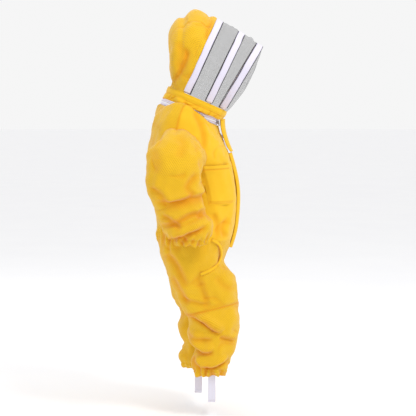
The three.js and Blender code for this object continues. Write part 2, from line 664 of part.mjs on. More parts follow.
// ---- hood ----
add("neck_zip_upper", WHITE_TAPE,
  collarRing(ZIP_JOIN, SKIRT_BOTTOM - CLEARANCE, -1, -1 - WEBBING));
add("hood_skirt", YELLOW_COTTON, collarRing(SKIRT_BOTTOM, BAND_BOTTOM - CLEARANCE, 0, -FABRIC));
add("hood_band", YELLOW_COTTON, collarRing(BAND_BOTTOM, BAND_TOP - CLEARANCE, 1, -FABRIC));
add("hood_side_right", YELLOW, hoodPanel(0.01, CROWN_SHARE - HOOD_SEAM, 6));
add("hood_crown", YELLOW, hoodPanel(CROWN_SHARE + HOOD_SEAM, 1 - CROWN_SHARE - HOOD_SEAM, 6));
add("hood_side_left", YELLOW, hoodPanel(1 - CROWN_SHARE + HOOD_SEAM, 0.99, 6));
for (const [name, hoop] of Object.entries(HOOPS)) {
  add("veil_tape_" + name, WHITE_TAPE, hoopBar(hoop,
    rectangle(-HOOP_TAPE / 2, HOOP_TAPE / 2, 0, WEBBING), HOOP_STEPS, 0.012));
  add("hoop_wire_" + name, STEEL, hoopBar(hoop,
    circle(WIRE_DIAMETER / 2, 6).map(([x, y]) => [x, y - WIRE_DIAMETER / 2 - LOOSE]),
    HOOP_STEPS, 0.02));
}
add("veil_net_rear", BLACK_NET, veilStrip(HOOPS.rear, HOOPS.middle));
add("veil_net_middle", BLACK_NET, veilStrip(HOOPS.middle, HOOPS.front));
add("veil_net_front", BLACK_NET, veilFront());
add("throat_tab", YELLOW_COTTON, tabBar(
  rectangle(-TAB_HALF_WIDTH, TAB_HALF_WIDTH, 0, TAB_THICKNESS), 0, 1, 14, true));
add("hook_patch", WHITE_TAPE, tabBar(
  rectangle(-TAB_HALF_WIDTH + 4, -5, -CLEARANCE - 1.2, -CLEARANCE), 0.62, 0.84, 4, false));
add("loop_patch", WHITE_TAPE, sheet(
  (u, v) => bodySection(degrees(lerp(2.9, 4.6, u)), lerp(-82, -100, v)), 3, 2, -1.8, -0.5));

// ---- sleeves ----
const wristRun = UNDERARM_Z - WRIST_Z;
const elbowRun = UNDERARM_Z - ELBOW_Z;
for (const [side, name] of [[RIGHT, "right"], [LEFT, "left"]]) {
  const head = { run: -CAP_LENGTH, back: 0 };
  const above = { run: elbowRun - 19, back: 11 };
  const below = { run: elbowRun + 19, back: -11 };
  const gap = (ring, amount) => ({ run: ring.run + amount, back: ring.back });
  add("upper_sleeve_" + name, YELLOW, sleevePiece(side, head, above, 8));
  add("elbow_cloth_" + name, YELLOW,
    sleevePiece(side, gap(above, CLOTH_GAP), gap(below, -CLOTH_GAP), 2));
  add("lower_sleeve_" + name, YELLOW, sleevePiece(side, below, { run: wristRun, back: 0 }, 6));
  const elastic = (run) => ({ run, back: 0 });
  add("wrist_elastic_" + name, WHITE_TAPE, sleevePiece(side, elastic(wristRun - 10),
    elastic(wristRun - 2), 1, FABRIC + 0.6, FABRIC + 0.6 + WEBBING));
}

// ---- legs ----
const HIP_SEAM = 0.4 * FABRIC; // room under the body's edge, whose wall leans out
for (const [side, name] of [[RIGHT, "right"], [LEFT, "left"]]) {
  const level = (z) => ({ front: z, back: z });
  const shifted = (ring, by) => ({ front: ring.front + by, back: ring.back + by });
  const crease = { front: HIP_Z - 96, back: HIP_Z - 36 };
  const overKnee = { front: KNEE_Z + 10, back: KNEE_Z + 45 };
  const underKnee = { front: KNEE_Z - 10, back: KNEE_Z - 45 };
  add("hip_cloth_" + name, YELLOW,
    legPiece(side, level(HIP_Z - HIP_SEAM), shifted(crease, CLOTH_GAP), 3));
  add("thigh_" + name, YELLOW, legPiece(side, crease, overKnee, 4));
  add("knee_cloth_" + name, YELLOW,
    legPiece(side, shifted(overKnee, -CLOTH_GAP), shifted(underKnee, CLOTH_GAP), 2));
  add("shin_" + name, YELLOW, legPiece(side, underKnee, level(ANKLE_Z), 6));
  add("ankle_elastic_" + name, WHITE_TAPE, legPiece(side, level(ANKLE_Z + 12),
    level(ANKLE_Z + 2), 1, FABRIC + 0.6, FABRIC + 0.6 + WEBBING));
  add("foot_strap_" + name, WHITE_TAPE, footStrap(side));
}

export default suit;
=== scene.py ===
"""The looks of a child's beekeeping suit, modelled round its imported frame.

Shapes are worked out in millimetres in the frame's own axes (+Z up, the suit faces -Y, its own
right side is at -X) and turned into metres when a mesh is made.
"""
import math
from contextlib import contextmanager

import bmesh
import bpy
import numpy as np
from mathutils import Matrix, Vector


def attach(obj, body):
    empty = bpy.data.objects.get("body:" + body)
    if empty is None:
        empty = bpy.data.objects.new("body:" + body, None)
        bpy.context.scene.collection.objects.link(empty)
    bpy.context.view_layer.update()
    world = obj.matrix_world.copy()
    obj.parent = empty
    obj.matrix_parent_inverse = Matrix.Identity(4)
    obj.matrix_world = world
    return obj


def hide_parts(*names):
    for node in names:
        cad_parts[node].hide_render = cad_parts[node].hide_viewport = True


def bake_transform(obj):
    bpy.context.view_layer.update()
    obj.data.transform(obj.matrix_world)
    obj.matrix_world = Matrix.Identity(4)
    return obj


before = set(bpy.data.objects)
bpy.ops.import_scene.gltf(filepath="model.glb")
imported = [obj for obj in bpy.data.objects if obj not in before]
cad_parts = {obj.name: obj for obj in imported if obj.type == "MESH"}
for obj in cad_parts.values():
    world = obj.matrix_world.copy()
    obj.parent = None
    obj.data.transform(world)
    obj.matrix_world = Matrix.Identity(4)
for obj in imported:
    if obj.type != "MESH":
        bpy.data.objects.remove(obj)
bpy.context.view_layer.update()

MM = 0.001
RIGHT, LEFT = -1, 1
SIDES = {"right": RIGHT, "left": LEFT}

# ---- sizes shared with the frame
NECK_RADIUS = 84
NECK_TILT = math.radians(20.4)
NECK_CENTRE = (4, -7)
BAND_TILT = math.radians(23.5)
BAND_CENTRE = (-18, 29)
BAND_HALF_WIDTH, BAND_HALF_DEPTH = 88, 86
ZIP_HEIGHT = 18.4  # both halves of the neck zip
SKIRT_HEIGHT = 15
BAND_BOTTOM, BAND_TOP = 33.7, 49.5
ARMHOLE_X = 118
UNDERARM_Z, ELBOW_Z, WRIST_Z = -169, -245, -350
WAIST_Z, HIP_Z, ANKLE_Z = -332, -374, -718
STRIDE = 36
LEG_MIDDLE_X = 59.5
ARC_RADIUS = 383  # the front closure's arc in the middle plane
ARC_CENTRE = (255, -244)
ZIP_TOP_Z, ZIP_BOTTOM_Z = -56, -362
HOOP_TAPE = 17
HOOP_FORWARD = np.array([0, -0.865, -0.502])
KNEE_SEAM_Z, KNEE_SEAM_Y, KNEE_SEAM_SLOPE = -531, -60, -0.22  # seen from the side
TRUNK_LOW_Z, LEG_SPLIT_Z, CROTCH_Z, LEG_ROUND_Z = -346, -386, -396, -452
FRONT_LOWEST_Z, BODY_LOWEST_Z = -420, -450  # where the body's curves end, inside the legs
CLOTH = 2.2

# ---- small maths


def lerp(a, b, t):
    return a + (b - a) * t


def smooth(x, low, high):
    t = np.clip((x - low) / (high - low), 0, 1)
    return t * t * (3 - 2 * t)


def bell(x, middle, width):
    """1 at the middle, falling away smoothly on both sides."""
    return np.exp(-(((x - middle) / width) ** 2))


def turn(count):
    """Even steps once round."""
    return np.linspace(0, 2 * math.pi, count, endpoint=False)


def down_rows(count, first=0.0, last=1.0):
    """Even steps down a grid, as a column."""
    return np.linspace(first, last, count)[:, None]


def power(x, exponent):
    return np.sign(x) * np.abs(x) ** exponent


def profile(*stations):
    """A smooth curve of value against height through its stations, highest first."""
    z, f = np.array(stations, float).T
    slope = np.empty_like(f)
    slope[1:-1] = (f[2:] - f[:-2]) / (z[2:] - z[:-2])
    slope[0] = (f[1] - f[0]) / (z[1] - z[0])
    slope[-1] = (f[-1] - f[-2]) / (z[-1] - z[-2])

    def at(height):
        height = np.asarray(height, float)
        i = np.clip(np.searchsorted(-z, -height, side="right") - 1, 0, len(z) - 2)
        width = z[i + 1] - z[i]
        t = np.clip((height - z[i]) / width, 0, 1)
        a, b = t**3, t**2
        return (
            (2 * a - 3 * b + 1) * f[i]
            + (a - 2 * b + t) * width * slope[i]
            + (3 * b - 2 * a) * f[i + 1]
            + (a - b) * width * slope[i + 1]
        )

    return at


def spline(points, count):
    """Evenly stepped points on a smooth curve through given ones."""
    p = np.array(points, float)
    p = np.vstack([2 * p[0] - p[1], p, 2 * p[-1] - p[-2]])
    t = np.linspace(0, len(points) - 1 - 1e-9, count)
    i = t.astype(int)
    t = (t - i)[:, None]
    a, b, c, d = (p[i + k] for k in range(4))
    return 0.5 * (2 * b + (c - a) * t + (2 * a - 5 * b + 4 * c - d) * t**2
                  + (3 * b - a - 3 * c + d) * t**3)


def field(seed, wavelength, stretch=(1, 1, 1), count=16):
    """A smooth random field of position, about -1 to 1."""
    rng = np.random.default_rng(seed)
    ways = rng.normal(size=(count, 3))
    ways /= np.linalg.norm(ways, axis=1)[:, None]
    ways *= (2 * math.pi / wavelength) * rng.uniform(0.6, 1.4, (count, 1)) / np.array(stretch)
    phase = rng.uniform(0, 2 * math.pi, count)

    def at(p):
        return np.sin(p @ ways.T + phase).sum(axis=-1) / math.sqrt(count / 2) / 1.4

    return at


def creases(p, seed, wavelength, stretch=(1, 1, 1), sharp=0.22):
    """Narrow valleys along the zero lines of a random field: 0 to 1, deepest at 1."""
    return bell(field(seed, wavelength, stretch)(p), 0, sharp)


def normals(p, wrap):
    """Unit normals of a grid of points: rows run down, columns run round."""
    if wrap:
        across = np.roll(p, -1, 1) - np.roll(p, 1, 1)
    else:
        across = np.gradient(p, axis=1)
    down = np.gradient(p, axis=0)
    n = np.cross(across, down)
    return n / np.maximum(np.linalg.norm(n, axis=2, keepdims=True), 1e-9)


class Folds:
    """Displaces a grid by folds placed in side view, each given as y and z along its line."""

    def __init__(self, points, wrap, side):
        self.p, self.wrap, self.side = points, wrap, side
        self.n = normals(points, wrap)
        facing = self.n[..., 0] * side
        self.mask = smooth(facing, -0.25, 0.25)
        self.out = np.zeros(points.shape[:2])
        self.down = np.zeros(points.shape[:2])
        # painted shade of the valleys, 0 to 1: the cloth materials paint it orange
        self.shade = np.zeros(points.shape[:2])

    def line(self, points, width, depth, lift=0.0, droop=0.0, shift_y=0.0):
        """A valley along a line. lift raises the cloth to the left of its direction, as seen
        with the front to the right, and droop lets that side hang over the valley."""
        path = spline(points, 48) + [shift_y, 0]
        y, z = self.p[..., 1], self.p[..., 2]
        a, b = path[:-1], path[1:]
        step = b - a
        dy, dz = y[..., None] - a[:, 0], z[..., None] - a[:, 1]
        t = np.clip((dy * step[:, 0] + dz * step[:, 1]) / (step**2).sum(1), 0, 1)
        ey, ez = dy - t * step[:, 0], dz - t * step[:, 1]
        away = np.hypot(ey, ez)
        best = away.argmin(axis=-1)
        pick = np.take_along_axis
        d = pick(away, best[..., None], -1)[..., 0]
        cross = step[best, 0] * pick(ez, best[..., None], -1)[..., 0]
        cross -= step[best, 1] * pick(ey, best[..., None], -1)[..., 0]
        s = d * np.sign(cross) * -1
        at = (best + pick(t, best[..., None], -1)[..., 0]) / len(a)
        ends = np.clip(np.minimum(at, 1 - at) * 6, 0.0, 1) ** 0.6
        beyond = bell(d, 0, width * 3)
        valley = bell(d, 0, width)
        ridge = bell(s, 1.5 * width, 1.2 * width)
        self.out += self.mask * ends * (lift * ridge - depth * valley) * np.maximum(beyond, valley)
        self.down += self.mask * ends * droop * bell(s, 0.5 * width, width)
        # painted shade along the valley, darker for deeper valleys
        self.shade += self.mask * ends * valley * min(depth / 8, 1)

    def done(self):
        moved = self.p + self.n * self.out[..., None]
        moved[..., 2] -= self.down
        return moved


# ---- meshes


def cumulative(steps):
    return np.concatenate([[0], steps.cumsum()])


def wrapped(grid):
    """A grid with its first column again at the end."""
    return np.concatenate([grid, grid[:, :1]], 1)


def step_lengths(grid, axis):
    return np.linalg.norm(np.diff(grid, axis=axis), axis=2)


def grid_mesh(name, p, wrap=False, shade=None, hole=None, uv=None, closed=False):
    """A single sheet from a grid of points in mm, with a map of its cloth in metres. wrap joins
    its last column to its first, and closed its last row to its first."""
    rows, cols = p.shape[:2]
    ring = wrapped(p) if wrap else p
    if uv is None:
        across = step_lengths(ring, 1).mean(axis=0)
        down = step_lengths(ring, 0).mean(axis=1)
        uv = np.stack(np.broadcast_arrays(cumulative(across)[None, :],
                                          -cumulative(down)[:, None]), -1)
    faces, loops = [], []
    for r in range(rows if closed else rows - 1):
        for c in range(cols if wrap else cols - 1):
            if hole is not None and hole[r, c]:
                continue
            low, d = (r + 1) % rows * cols, (c + 1) % cols
            faces.append((r * cols + c, r * cols + d, low + d, low + c))
            loops += [uv[r, c], uv[r, c + 1], uv[r + 1, c + 1], uv[r + 1, c]]
    mesh = bpy.data.meshes.new(name)
    mesh.from_pydata((p.reshape(-1, 3) * MM).tolist(), [], faces)
    layer = mesh.uv_layers.new(name="cloth")
    layer.data.foreach_set("uv", (np.array(loops) * MM).ravel())
    # painted shade per point, 0 to 1, kept on the mesh for the cloth materials
    depth = mesh.attributes.new("painted_shade", "FLOAT", "POINT")
    values = np.zeros(rows * cols) if shade is None else np.clip(shade, 0, 1).ravel()
    depth.data.foreach_set("value", values)
    mesh.shade_smooth()
    return mesh


@contextmanager
def edited(mesh):
    """Opens a mesh for editing and writes it back."""
    b = bmesh.new()
    b.from_mesh(mesh)
    yield b
    b.to_mesh(mesh)
    b.free()


def placed(name, data):
    """A new object in the scene."""
    obj = bpy.data.objects.new(name, data)
    bpy.context.scene.collection.objects.link(obj)
    return obj


def piece(name, mesh, material, body=None, replaced=(), thick=0.0):
    """An object from a mesh, with a cloth's wall put inside its surface."""
    obj = placed(name, mesh)
    mesh.materials.append(material)
    if thick:
        wall = obj.modifiers.new("wall", "SOLIDIFY")
        wall.thickness = thick * MM
        wall.offset = -1.0
        settle(obj)
    if body:
        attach(obj, body)
    if replaced:
        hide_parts(*replaced)
    return obj


def settle(obj):
    """Applies an object's modifiers."""
    bpy.context.view_layer.update()
    graph = bpy.context.evaluated_depsgraph_get()
    made = bpy.data.meshes.new_from_object(obj.evaluated_get(graph))
    obj.modifiers.clear()
    made.set_sharp_from_angle(angle=math.radians(58))
    obj.data = made


def drop_loose(mesh):
    """Deletes the points that belong to no face."""
    with edited(mesh) as b:
        bmesh.ops.delete(b, geom=[v for v in b.verts if not v.link_faces], context="VERTS")


def ribbon(centre, normal, width, thick, lift=0.0, rows=5, crown=0.4, wrap=False):
    """A strip of tape along points in mm: a closed grid across its rounded section."""
    along = np.gradient(centre, axis=0)
    if wrap:
        along = np.roll(centre, -1, 0) - np.roll(centre, 1, 0)
    along /= np.linalg.norm(along, axis=1)[:, None]
    across = np.cross(normal, along)
    across /= np.linalg.norm(across, axis=1)[:, None]
    x = np.linspace(-1, 1, rows)
    top = lift + thick * (1 - crown * x**4)
    low = np.full(rows, lift)
    loop_x = np.concatenate([x, x[::-1]])
    loop_h = np.concatenate([top, low])
    width = np.broadcast_to(width, len(centre))
    p = (centre[None] + across[None] * (loop_x[:, None] * width[None] / 2)[..., None]
         + normal[None] * loop_h[:, None, None])
    return p.transpose(1, 0, 2)


def strip_mesh(name, p, closed=False):
    """A mesh from ribbon(): rows are the steps along it, columns its section."""
    steps, section = p.shape[:2]
    rows = np.concatenate([p, p[:1]]) if closed else p
    length = cumulative(np.linalg.norm(np.diff(rows.mean(1), axis=0), axis=1))
    girth = cumulative(step_lengths(wrapped(p), 1).mean(0))
    uv = np.stack(np.broadcast_arrays(girth[None, :], length[:, None]), -1)
    mesh = grid_mesh(name, p, True, uv=uv, closed=closed)
    with edited(mesh) as b:
        if not closed:
            b.verts.ensure_lookup_table()
            last = (steps - 1) * section
            b.faces.new([b.verts[c] for c in range(section)][::-1]).smooth = True
            b.faces.new([b.verts[last + c] for c in range(section)]).smooth = True
        bmesh.ops.recalc_face_normals(b, faces=b.faces)
    return mesh


# ---- materials


def colour(r, g, b):
    """An 8-bit sRGB colour as the shader's linear numbers."""
    def linear(c):
        c /= 255
        return c / 12.92 if c <= 0.04045 else ((c + 0.055) / 1.055) ** 2.4
    return (linear(r), linear(g), linear(b), 1)


class Nodes:
    """A short way to write a material's nodes."""

    def __init__(self, name):
        self.material = bpy.data.materials.new(name)
        self.material.use_nodes = True
        self.tree = self.material.node_tree
        self.shader = self.tree.nodes["Principled BSDF"]

    def add(self, kind, inputs=(), **settings):
        node = self.tree.nodes.new("ShaderNode" + kind)
        for key, value in settings.items():
            setattr(node, key, value)
        for key, value in dict(inputs).items():
            self.put(node, key, value)
        return node

    def put(self, node, key, value):
        socket = node.inputs[key]
        if isinstance(value, bpy.types.NodeSocket):
            self.tree.links.new(value, socket)
        else:
            socket.default_value = value

    def maths(self, operation, a, b=0.0, c=0.0, clamp=False):
        node = self.add("Math", {0: a, 1: b, 2: c}, operation=operation, use_clamp=clamp)
        return node.outputs[0]

    def mix(self, factor, a, b, blend="MIX"):
        node = self.add("Mix", data_type="RGBA", blend_type=blend)
        self.put(node, 0, factor)
        self.put(node, 6, a)
        self.put(node, 7, b)
        return node.outputs[2]

    def uv(self, scale, angle=0.0):
        source = self.add("UVMap", uv_map="cloth").outputs[0]
        return self.add("Mapping", {"Vector": source, "Scale": (scale, scale, scale),
                                    "Rotation": (0, 0, angle)}).outputs[0]

    def noise(self, scale, detail=3.0):
        return self.add("TexNoise", {"Vector": self.add("TexCoord").outputs["Object"],
                                     "Scale": scale, "Detail": detail}).outputs[0]

    def bump(self, height, strength, distance):
        node = self.add("Bump", {"Height": height, "Strength": strength, "Distance": distance})
        self.put(self.shader, "Normal", node.outputs[0])

    def fine(self, **inputs):
        for key, value in inputs.items():
            self.put(self.shader, key.replace("_", " "), value)


YELLOW_LIGHT = colour(245, 198, 34)
YELLOW = colour(237, 184, 22)
YELLOW_DEEP = colour(205, 146, 12)
# the colour of painted shade in creases, seams and hems
PAINTED_SHADE_ORANGE = colour(234, 150, 2)


def yellow_base(n, amount=0.8):
    """Yellow cloth with painted shade: orange where the mesh's painted shade of creases, seams and
    hems is high (as strong as amount), and a little unevenness from the dye.
    """
    uneven = n.noise(14.0)
    worn = n.mix(uneven, YELLOW, YELLOW_LIGHT)
    # painted shade kept on the mesh mixes the cloth towards orange
    depth = n.add("Attribute", attribute_name="painted_shade").outputs["Fac"]
    return n.mix(n.maths("MULTIPLY", depth, amount, clamp=True), worn, PAINTED_SHADE_ORANGE)


def ventilated_cloth():
    """Three-layer ventilated cloth: a fine net of round holes over a knitted core."""
    n = Nodes("ventilated_cloth")
    cell = n.add("TexVoronoi", {"Vector": n.uv(290.0, 0.78), "Scale": 1.0, "Randomness": 0.12})
    hole = n.add("MapRange", {0: cell.outputs["Distance"], 1: 0.16, 2: 0.42, 3: 1.0, 4: 0.0})
    base = yellow_base(n)
    # the holes are painted darker: painted shade where the knitted core lies deeper than the net
    n.fine(Base_Color=n.mix(n.maths("MULTIPLY", hole.outputs[0], 0.62), base, YELLOW_DEEP))
    n.fine(Roughness=n.maths("MULTIPLY_ADD", hole.outputs[0], 0.08, 0.84))
    knit = n.noise(900.0, 2.0)
    height = n.maths("SUBTRACT", n.maths("MULTIPLY", knit, 0.35), hole.outputs[0])
    n.bump(height, 0.7, 0.0011)
    n.fine(Sheen_Weight=0.25, Sheen_Roughness=0.5, Specular_IOR_Level=0.25)
    return n.material


def cotton_cloth():
    """Plain cotton: a tight diagonal twill."""
    n = Nodes("cotton_cloth")
    rib = n.add("TexWave", {"Vector": n.uv(1.0, 0.9), "Scale": 190.0, "Distortion": 1.2,
                            "Detail": 2.0}, wave_type="BANDS")
    base = yellow_base(n)
    n.fine(Base_Color=n.mix(n.maths("MULTIPLY", rib.outputs[1], 0.10), base, YELLOW_DEEP))
    n.fine(Roughness=n.maths("MULTIPLY_ADD", n.noise(60.0), 0.12, 0.74))
    n.bump(n.maths("ADD", rib.outputs[1], n.noise(700.0, 2.0)), 0.28, 0.0005)
    n.fine(Sheen_Weight=0.2, Sheen_Roughness=0.45, Specular_IOR_Level=0.3)
    return n.material


def white_tape(name, pitch, light, dark):
    """Woven white tape: ribs across its length and a fine herringbone."""
    n = Nodes(name)
    rib = n.add("TexWave", {"Vector": n.uv(1.0), "Scale": 1 / pitch, "Distortion": 0.4,
                            "Detail": 1.0}, wave_type="BANDS", bands_direction="Y")
    weave = n.add("TexWave", {"Vector": n.uv(1.0, 0.8), "Scale": 330.0, "Distortion": 0.5},
                  wave_type="BANDS")
    both = n.maths("MULTIPLY_ADD", weave.outputs[1], 0.4, rib.outputs[1])
    tint = n.mix(n.maths("MULTIPLY", both, 0.4, clamp=True), light, dark)
    n.fine(Base_Color=n.mix(n.maths("MULTIPLY", n.noise(20.0), 0.2), tint, dark))
    n.fine(Roughness=n.maths("MULTIPLY_ADD", both, 0.1, 0.6))
    n.bump(both, 0.3, 0.0006)
    n.fine(Sheen_Weight=0.15, Specular_IOR_Level=0.35)
    return n.material


def veil_net(name="veil_net", thread=0.42, between=0.10):
    """Fine black net: threads that cross at right angles with open cells between."""
    n = Nodes(name)
    source = n.uv(620.0)
    parts = n.add("SeparateXYZ", {0: source})
    lines = []
    for axis in (0, 1):
        wave = n.maths("PINGPONG", parts.outputs[axis], 0.5)
        lines.append(n.maths("LESS_THAN", wave, 0.13))
    cover = n.maths("MAXIMUM", lines[0], lines[1])
    n.fine(Alpha=n.maths("MULTIPLY_ADD", cover, thread - between, between))
    n.fine(Base_Color=n.mix(n.noise(30.0), colour(30, 30, 36), colour(62, 62, 72)))
    n.fine(Roughness=n.maths("MULTIPLY_ADD", cover, 0.1, 0.55))
    n.material.blend_method = "HASHED"
    return n.material


def metal(name, tint, roughness):
    """Metal with fine rubbed scratches."""
    n = Nodes(name)
    scratch = n.noise(900.0, 4.0)
    n.fine(Base_Color=n.mix(scratch, tint, colour(150, 150, 156)))
    n.fine(Roughness=n.maths("MULTIPLY_ADD", scratch, 0.25, roughness))
    n.fine(Metallic=1.0)
    n.bump(scratch, 0.1, 0.0002)
    return n.material


VENTILATED = ventilated_cloth()
COTTON = cotton_cloth()
TAPE = white_tape("white_tape", 0.009, colour(238, 234, 248), colour(206, 199, 222))
ELASTIC = white_tape("white_elastic", 0.006, colour(240, 238, 248), colour(196, 192, 212))
NET = veil_net()
NET_EDGE = veil_net("veil_net_edge", 0.9, 0.6)
ZIP_METAL = metal("zip_metal", colour(196, 196, 202), 0.3)
WIRE = metal("spring_wire", colour(170, 172, 178), 0.25)

# ---- the body's shape


def front_y(z):
    """Depth of the front closure's arc in the middle plane."""
    z = np.clip(z, FRONT_LOWEST_Z, ARC_CENTRE[1] + ARC_RADIUS)
    return ARC_CENTRE[0] - np.sqrt(ARC_RADIUS**2 - (z - ARC_CENTRE[1]) ** 2)


YOKE_Z = -60
body_half_width = profile((-60, 126), (-100, 138), (-140, 131), (-172, 118), (-214, 111),
                          (-308, 112), (-374, 117), (-450, 119))
body_seam_y = profile((-60, 38), (-120, 42), (-172, 30), (-250, 5), (-374, -14), (-450, -30))
body_back_y = profile((-60, 104), (-77, 110), (-110, 116), (-176, 110), (-214, 104), (-258, 98),
                      (-308, 88), (-352, 89), (-374, 85), (-407, 74), (-450, 60))


def body_section(angle, z):
    """Angle 0 is the front, 90 degrees the right side, 180 the back."""
    seam = body_seam_y(z)
    front = np.cos(angle) > 0
    n = np.where(front, 2.25, 2.9)
    reach = np.where(front, seam - front_y(z), body_back_y(z) - seam)
    return np.stack([
        -body_half_width(z) * power(np.sin(angle), 2 / n),
        seam - reach * power(np.cos(angle), 2 / n),
        z + 0 * angle,
    ], -1)


def collar(angle, height, out=0.0):
    """The collar from the neck zip's circle (height 0) up to the squarer hood band."""
    angle, height = np.broadcast_arrays(np.asarray(angle, float), np.asarray(height, float))
    square = np.clip((height - ZIP_HEIGHT) / SKIRT_HEIGHT, 0, 1)
    tilt = lerp(NECK_TILT, BAND_TILT, square)
    exponent = 2 / lerp(2, 2.6, square)
    width = lerp(NECK_RADIUS, BAND_HALF_WIDTH, square) + out
    depth = lerp(NECK_RADIUS, BAND_HALF_DEPTH, square) + out
    forward = depth * power(np.cos(angle), exponent)
    low = [NECK_CENTRE[0] - math.sin(NECK_TILT) * height,
           NECK_CENTRE[1] + math.cos(NECK_TILT) * height]
    rise = height - (BAND_BOTTOM + BAND_TOP) / 2
    high = [BAND_CENTRE[0] - math.sin(BAND_TILT) * rise,
            BAND_CENTRE[1] + math.cos(BAND_TILT) * rise]
    return np.stack([
        -width * power(np.sin(angle), exponent),
        lerp(low[0], high[0], square) - forward * np.cos(tilt),
        lerp(low[1], high[1], square) - forward * np.sin(tilt),
    ], -1)


YOKE_SHARE = 0.26
SHOULDER_RISE = 67  # how far the shoulder's cloth stands up over the neck zip at its side


def body_surface(angle, v, low_z):
    """From the neck (v = 0) over the shoulders and down the body to low_z (v = 1)."""
    angle, v = np.broadcast_arrays(angle, v)
    straight = body_section(angle, lerp(YOKE_Z, low_z, (v - YOKE_SHARE) / (1 - YOKE_SHARE)))
    t = np.clip(v / YOKE_SHARE, 0, 1)[..., None]
    neck = collar(angle, 0.0, 1.0)
    chest = body_section(angle, YOKE_Z + 0 * angle)
    high, low = lerp(neck, chest, 0.06), lerp(neck, chest, 0.74)
    side = np.abs(np.sin(angle - 0.06 * np.sign(np.sin(angle))))
    high[..., 2] = neck[..., 2] - 5 + SHOULDER_RISE * side**5
    low[..., 2] = neck[..., 2] - 19 + 27 * side**4
    yoke = (neck * (1 - t) ** 3 + high * 3 * t * (1 - t) ** 2
            + low * 3 * t**2 * (1 - t) + chest * t**3)
    return np.where((v > YOKE_SHARE)[..., None], straight, yoke)


# ---- sleeves and legs

SLEEVE_INNER = 121
CAP_LENGTH = 90  # run of the sleeve head
ARMHOLE_LOWEST_Z = -205
ARMHOLE = {"y": 37, "z": -103, "half_depth": 70, "half_height": 66, "lean": 0.04}
sleeve_half_width = profile((-169, 44), (-225, 43), (-260, 39), (-300, 42), (-327, 36), (-350, 27))
sleeve_middle_x = profile((-169, 168), (-225, 166), (-260, 163), (-300, 164), (-350, 160))
sleeve_middle_y = profile((-169, 45), (-192, 40), (-225, 34), (-258, 25), (-291, 8), (-308, 5),
                          (-350, 4))
sleeve_half_depth = profile((-169, 76), (-192, 76), (-225, 70), (-258, 66), (-291, 69),
                            (-308, 69), (-327, 60), (-341, 43), (-350, 30))
leg_half_width = profile((-374, 57), (-440, 57), (-530, 54), (-600, 52), (-650, 48), (-690, 42),
                         (-718, 34))
leg_middle_y = profile((-374, -9), (-407, -19), (-440, -30), (-473, -40), (-506, -48),
                       (-530, -54), (-565, -64), (-600, -66), (-640, -66), (-690, -56),
                       (-718, -55))
leg_half_depth = profile((-374, 95), (-407, 93), (-440, 91), (-473, 88), (-506, 84), (-530, 80),
                         (-565, 70), (-600, 67), (-640, 59), (-690, 48), (-718, 37))


def sleeve_section(side, angle, run):
    """Angle 0 is the inner side, 90 degrees the back. Runs below 0 are the sleeve head."""
    angle, run = np.broadcast_arrays(np.asarray(angle, float), np.asarray(run, float))
    z = UNDERARM_Z - np.maximum(run, 0)
    straight = np.stack([sleeve_middle_x(z) - sleeve_half_width(z) * np.cos(angle),
                         sleeve_middle_y(z) + sleeve_half_depth(z) * np.sin(angle), z], -1)
    rise = np.clip(1 + run / CAP_LENGTH, 0, 1)
    size = lerp(59, 44, rise)
    reach = size * (1 - np.cos(angle))
    way = rise * math.pi / 2
    head = np.stack([
        SLEEVE_INNER + 3 * rise**2 + reach * np.sin(way),
        lerp(37, 45, rise) + lerp(70, 76, rise) * np.sin(angle),
        UNDERARM_Z + 14 * (1 - rise) + reach * np.cos(way),
    ], -1)
    p = np.where((run >= 0)[..., None], straight, head)
    p[..., 0] *= side
    return p


OUTER_SHARE = 0.66  # of a leg's girth, from the front middle round the outside to the back


def leg_surface(side, s, z):
    """A trouser leg: half of the body at the waist, which turns into a round leg of its own."""
    s, z = np.broadcast_arrays(np.asarray(s, float), np.asarray(z, float))
    outside = s < OUTER_SHARE
    t = np.where(outside, s / OUTER_SHARE, (s - OUTER_SHARE) / (1 - OUTER_SHARE))
    half = body_section(t * math.pi, np.maximum(z, BODY_LOWEST_Z))
    flat = np.stack([0 * t, lerp(body_back_y(z), front_y(z), t), z], -1)
    half[..., 2] = z
    d_shape = np.where(outside[..., None], half, flat)
    angle = np.radians(np.where(outside, lerp(-38, 218, t), lerp(218, 322, t)))
    n = 2 / 2.3
    leg = np.stack([
        -LEG_MIDDLE_X - leg_half_width(z) * power(np.sin(angle), n),
        leg_middle_y(z) - leg_half_depth(z) * power(np.cos(angle), n),
        z,
    ], -1)
    p = lerp(d_shape, leg, smooth(-z, -LEG_SPLIT_Z, -LEG_ROUND_Z)[..., None])
    if side == LEFT:
        p[..., 0] *= -1
        p[..., 1] += STRIDE * np.maximum(HIP_Z - z, 0) / (HIP_Z - ANKLE_Z)
    return p


def knee_seam_z(side, s):
    """The knee seam's height round a leg: it drops towards the back."""
    y = leg_surface(side, s, KNEE_SEAM_Z)[..., 1] - (STRIDE * 0.45 if side == LEFT else 0)
    return KNEE_SEAM_Z + KNEE_SEAM_SLOPE * (y - KNEE_SEAM_Y)


# ---- cloth pieces


def random_folds(folds, seed, amount=1.0, tall=2.0):
    """Soft waves and narrow creases, as thick cloth takes when it hangs."""
    p = folds.p
    folds.out += amount * (2.6 * field(seed, 75, (1, 1, tall))(p) + 1.0 * field(seed + 1, 34)(p))
    narrow = creases(p, seed + 2, 95, (1, 1, 0.8)) * smooth(field(seed + 3, 80)(p), 0.0, 0.6)
    folds.out -= amount * 2.2 * narrow
    # painted shade in the narrow creases
    folds.shade += 0.35 * amount * narrow


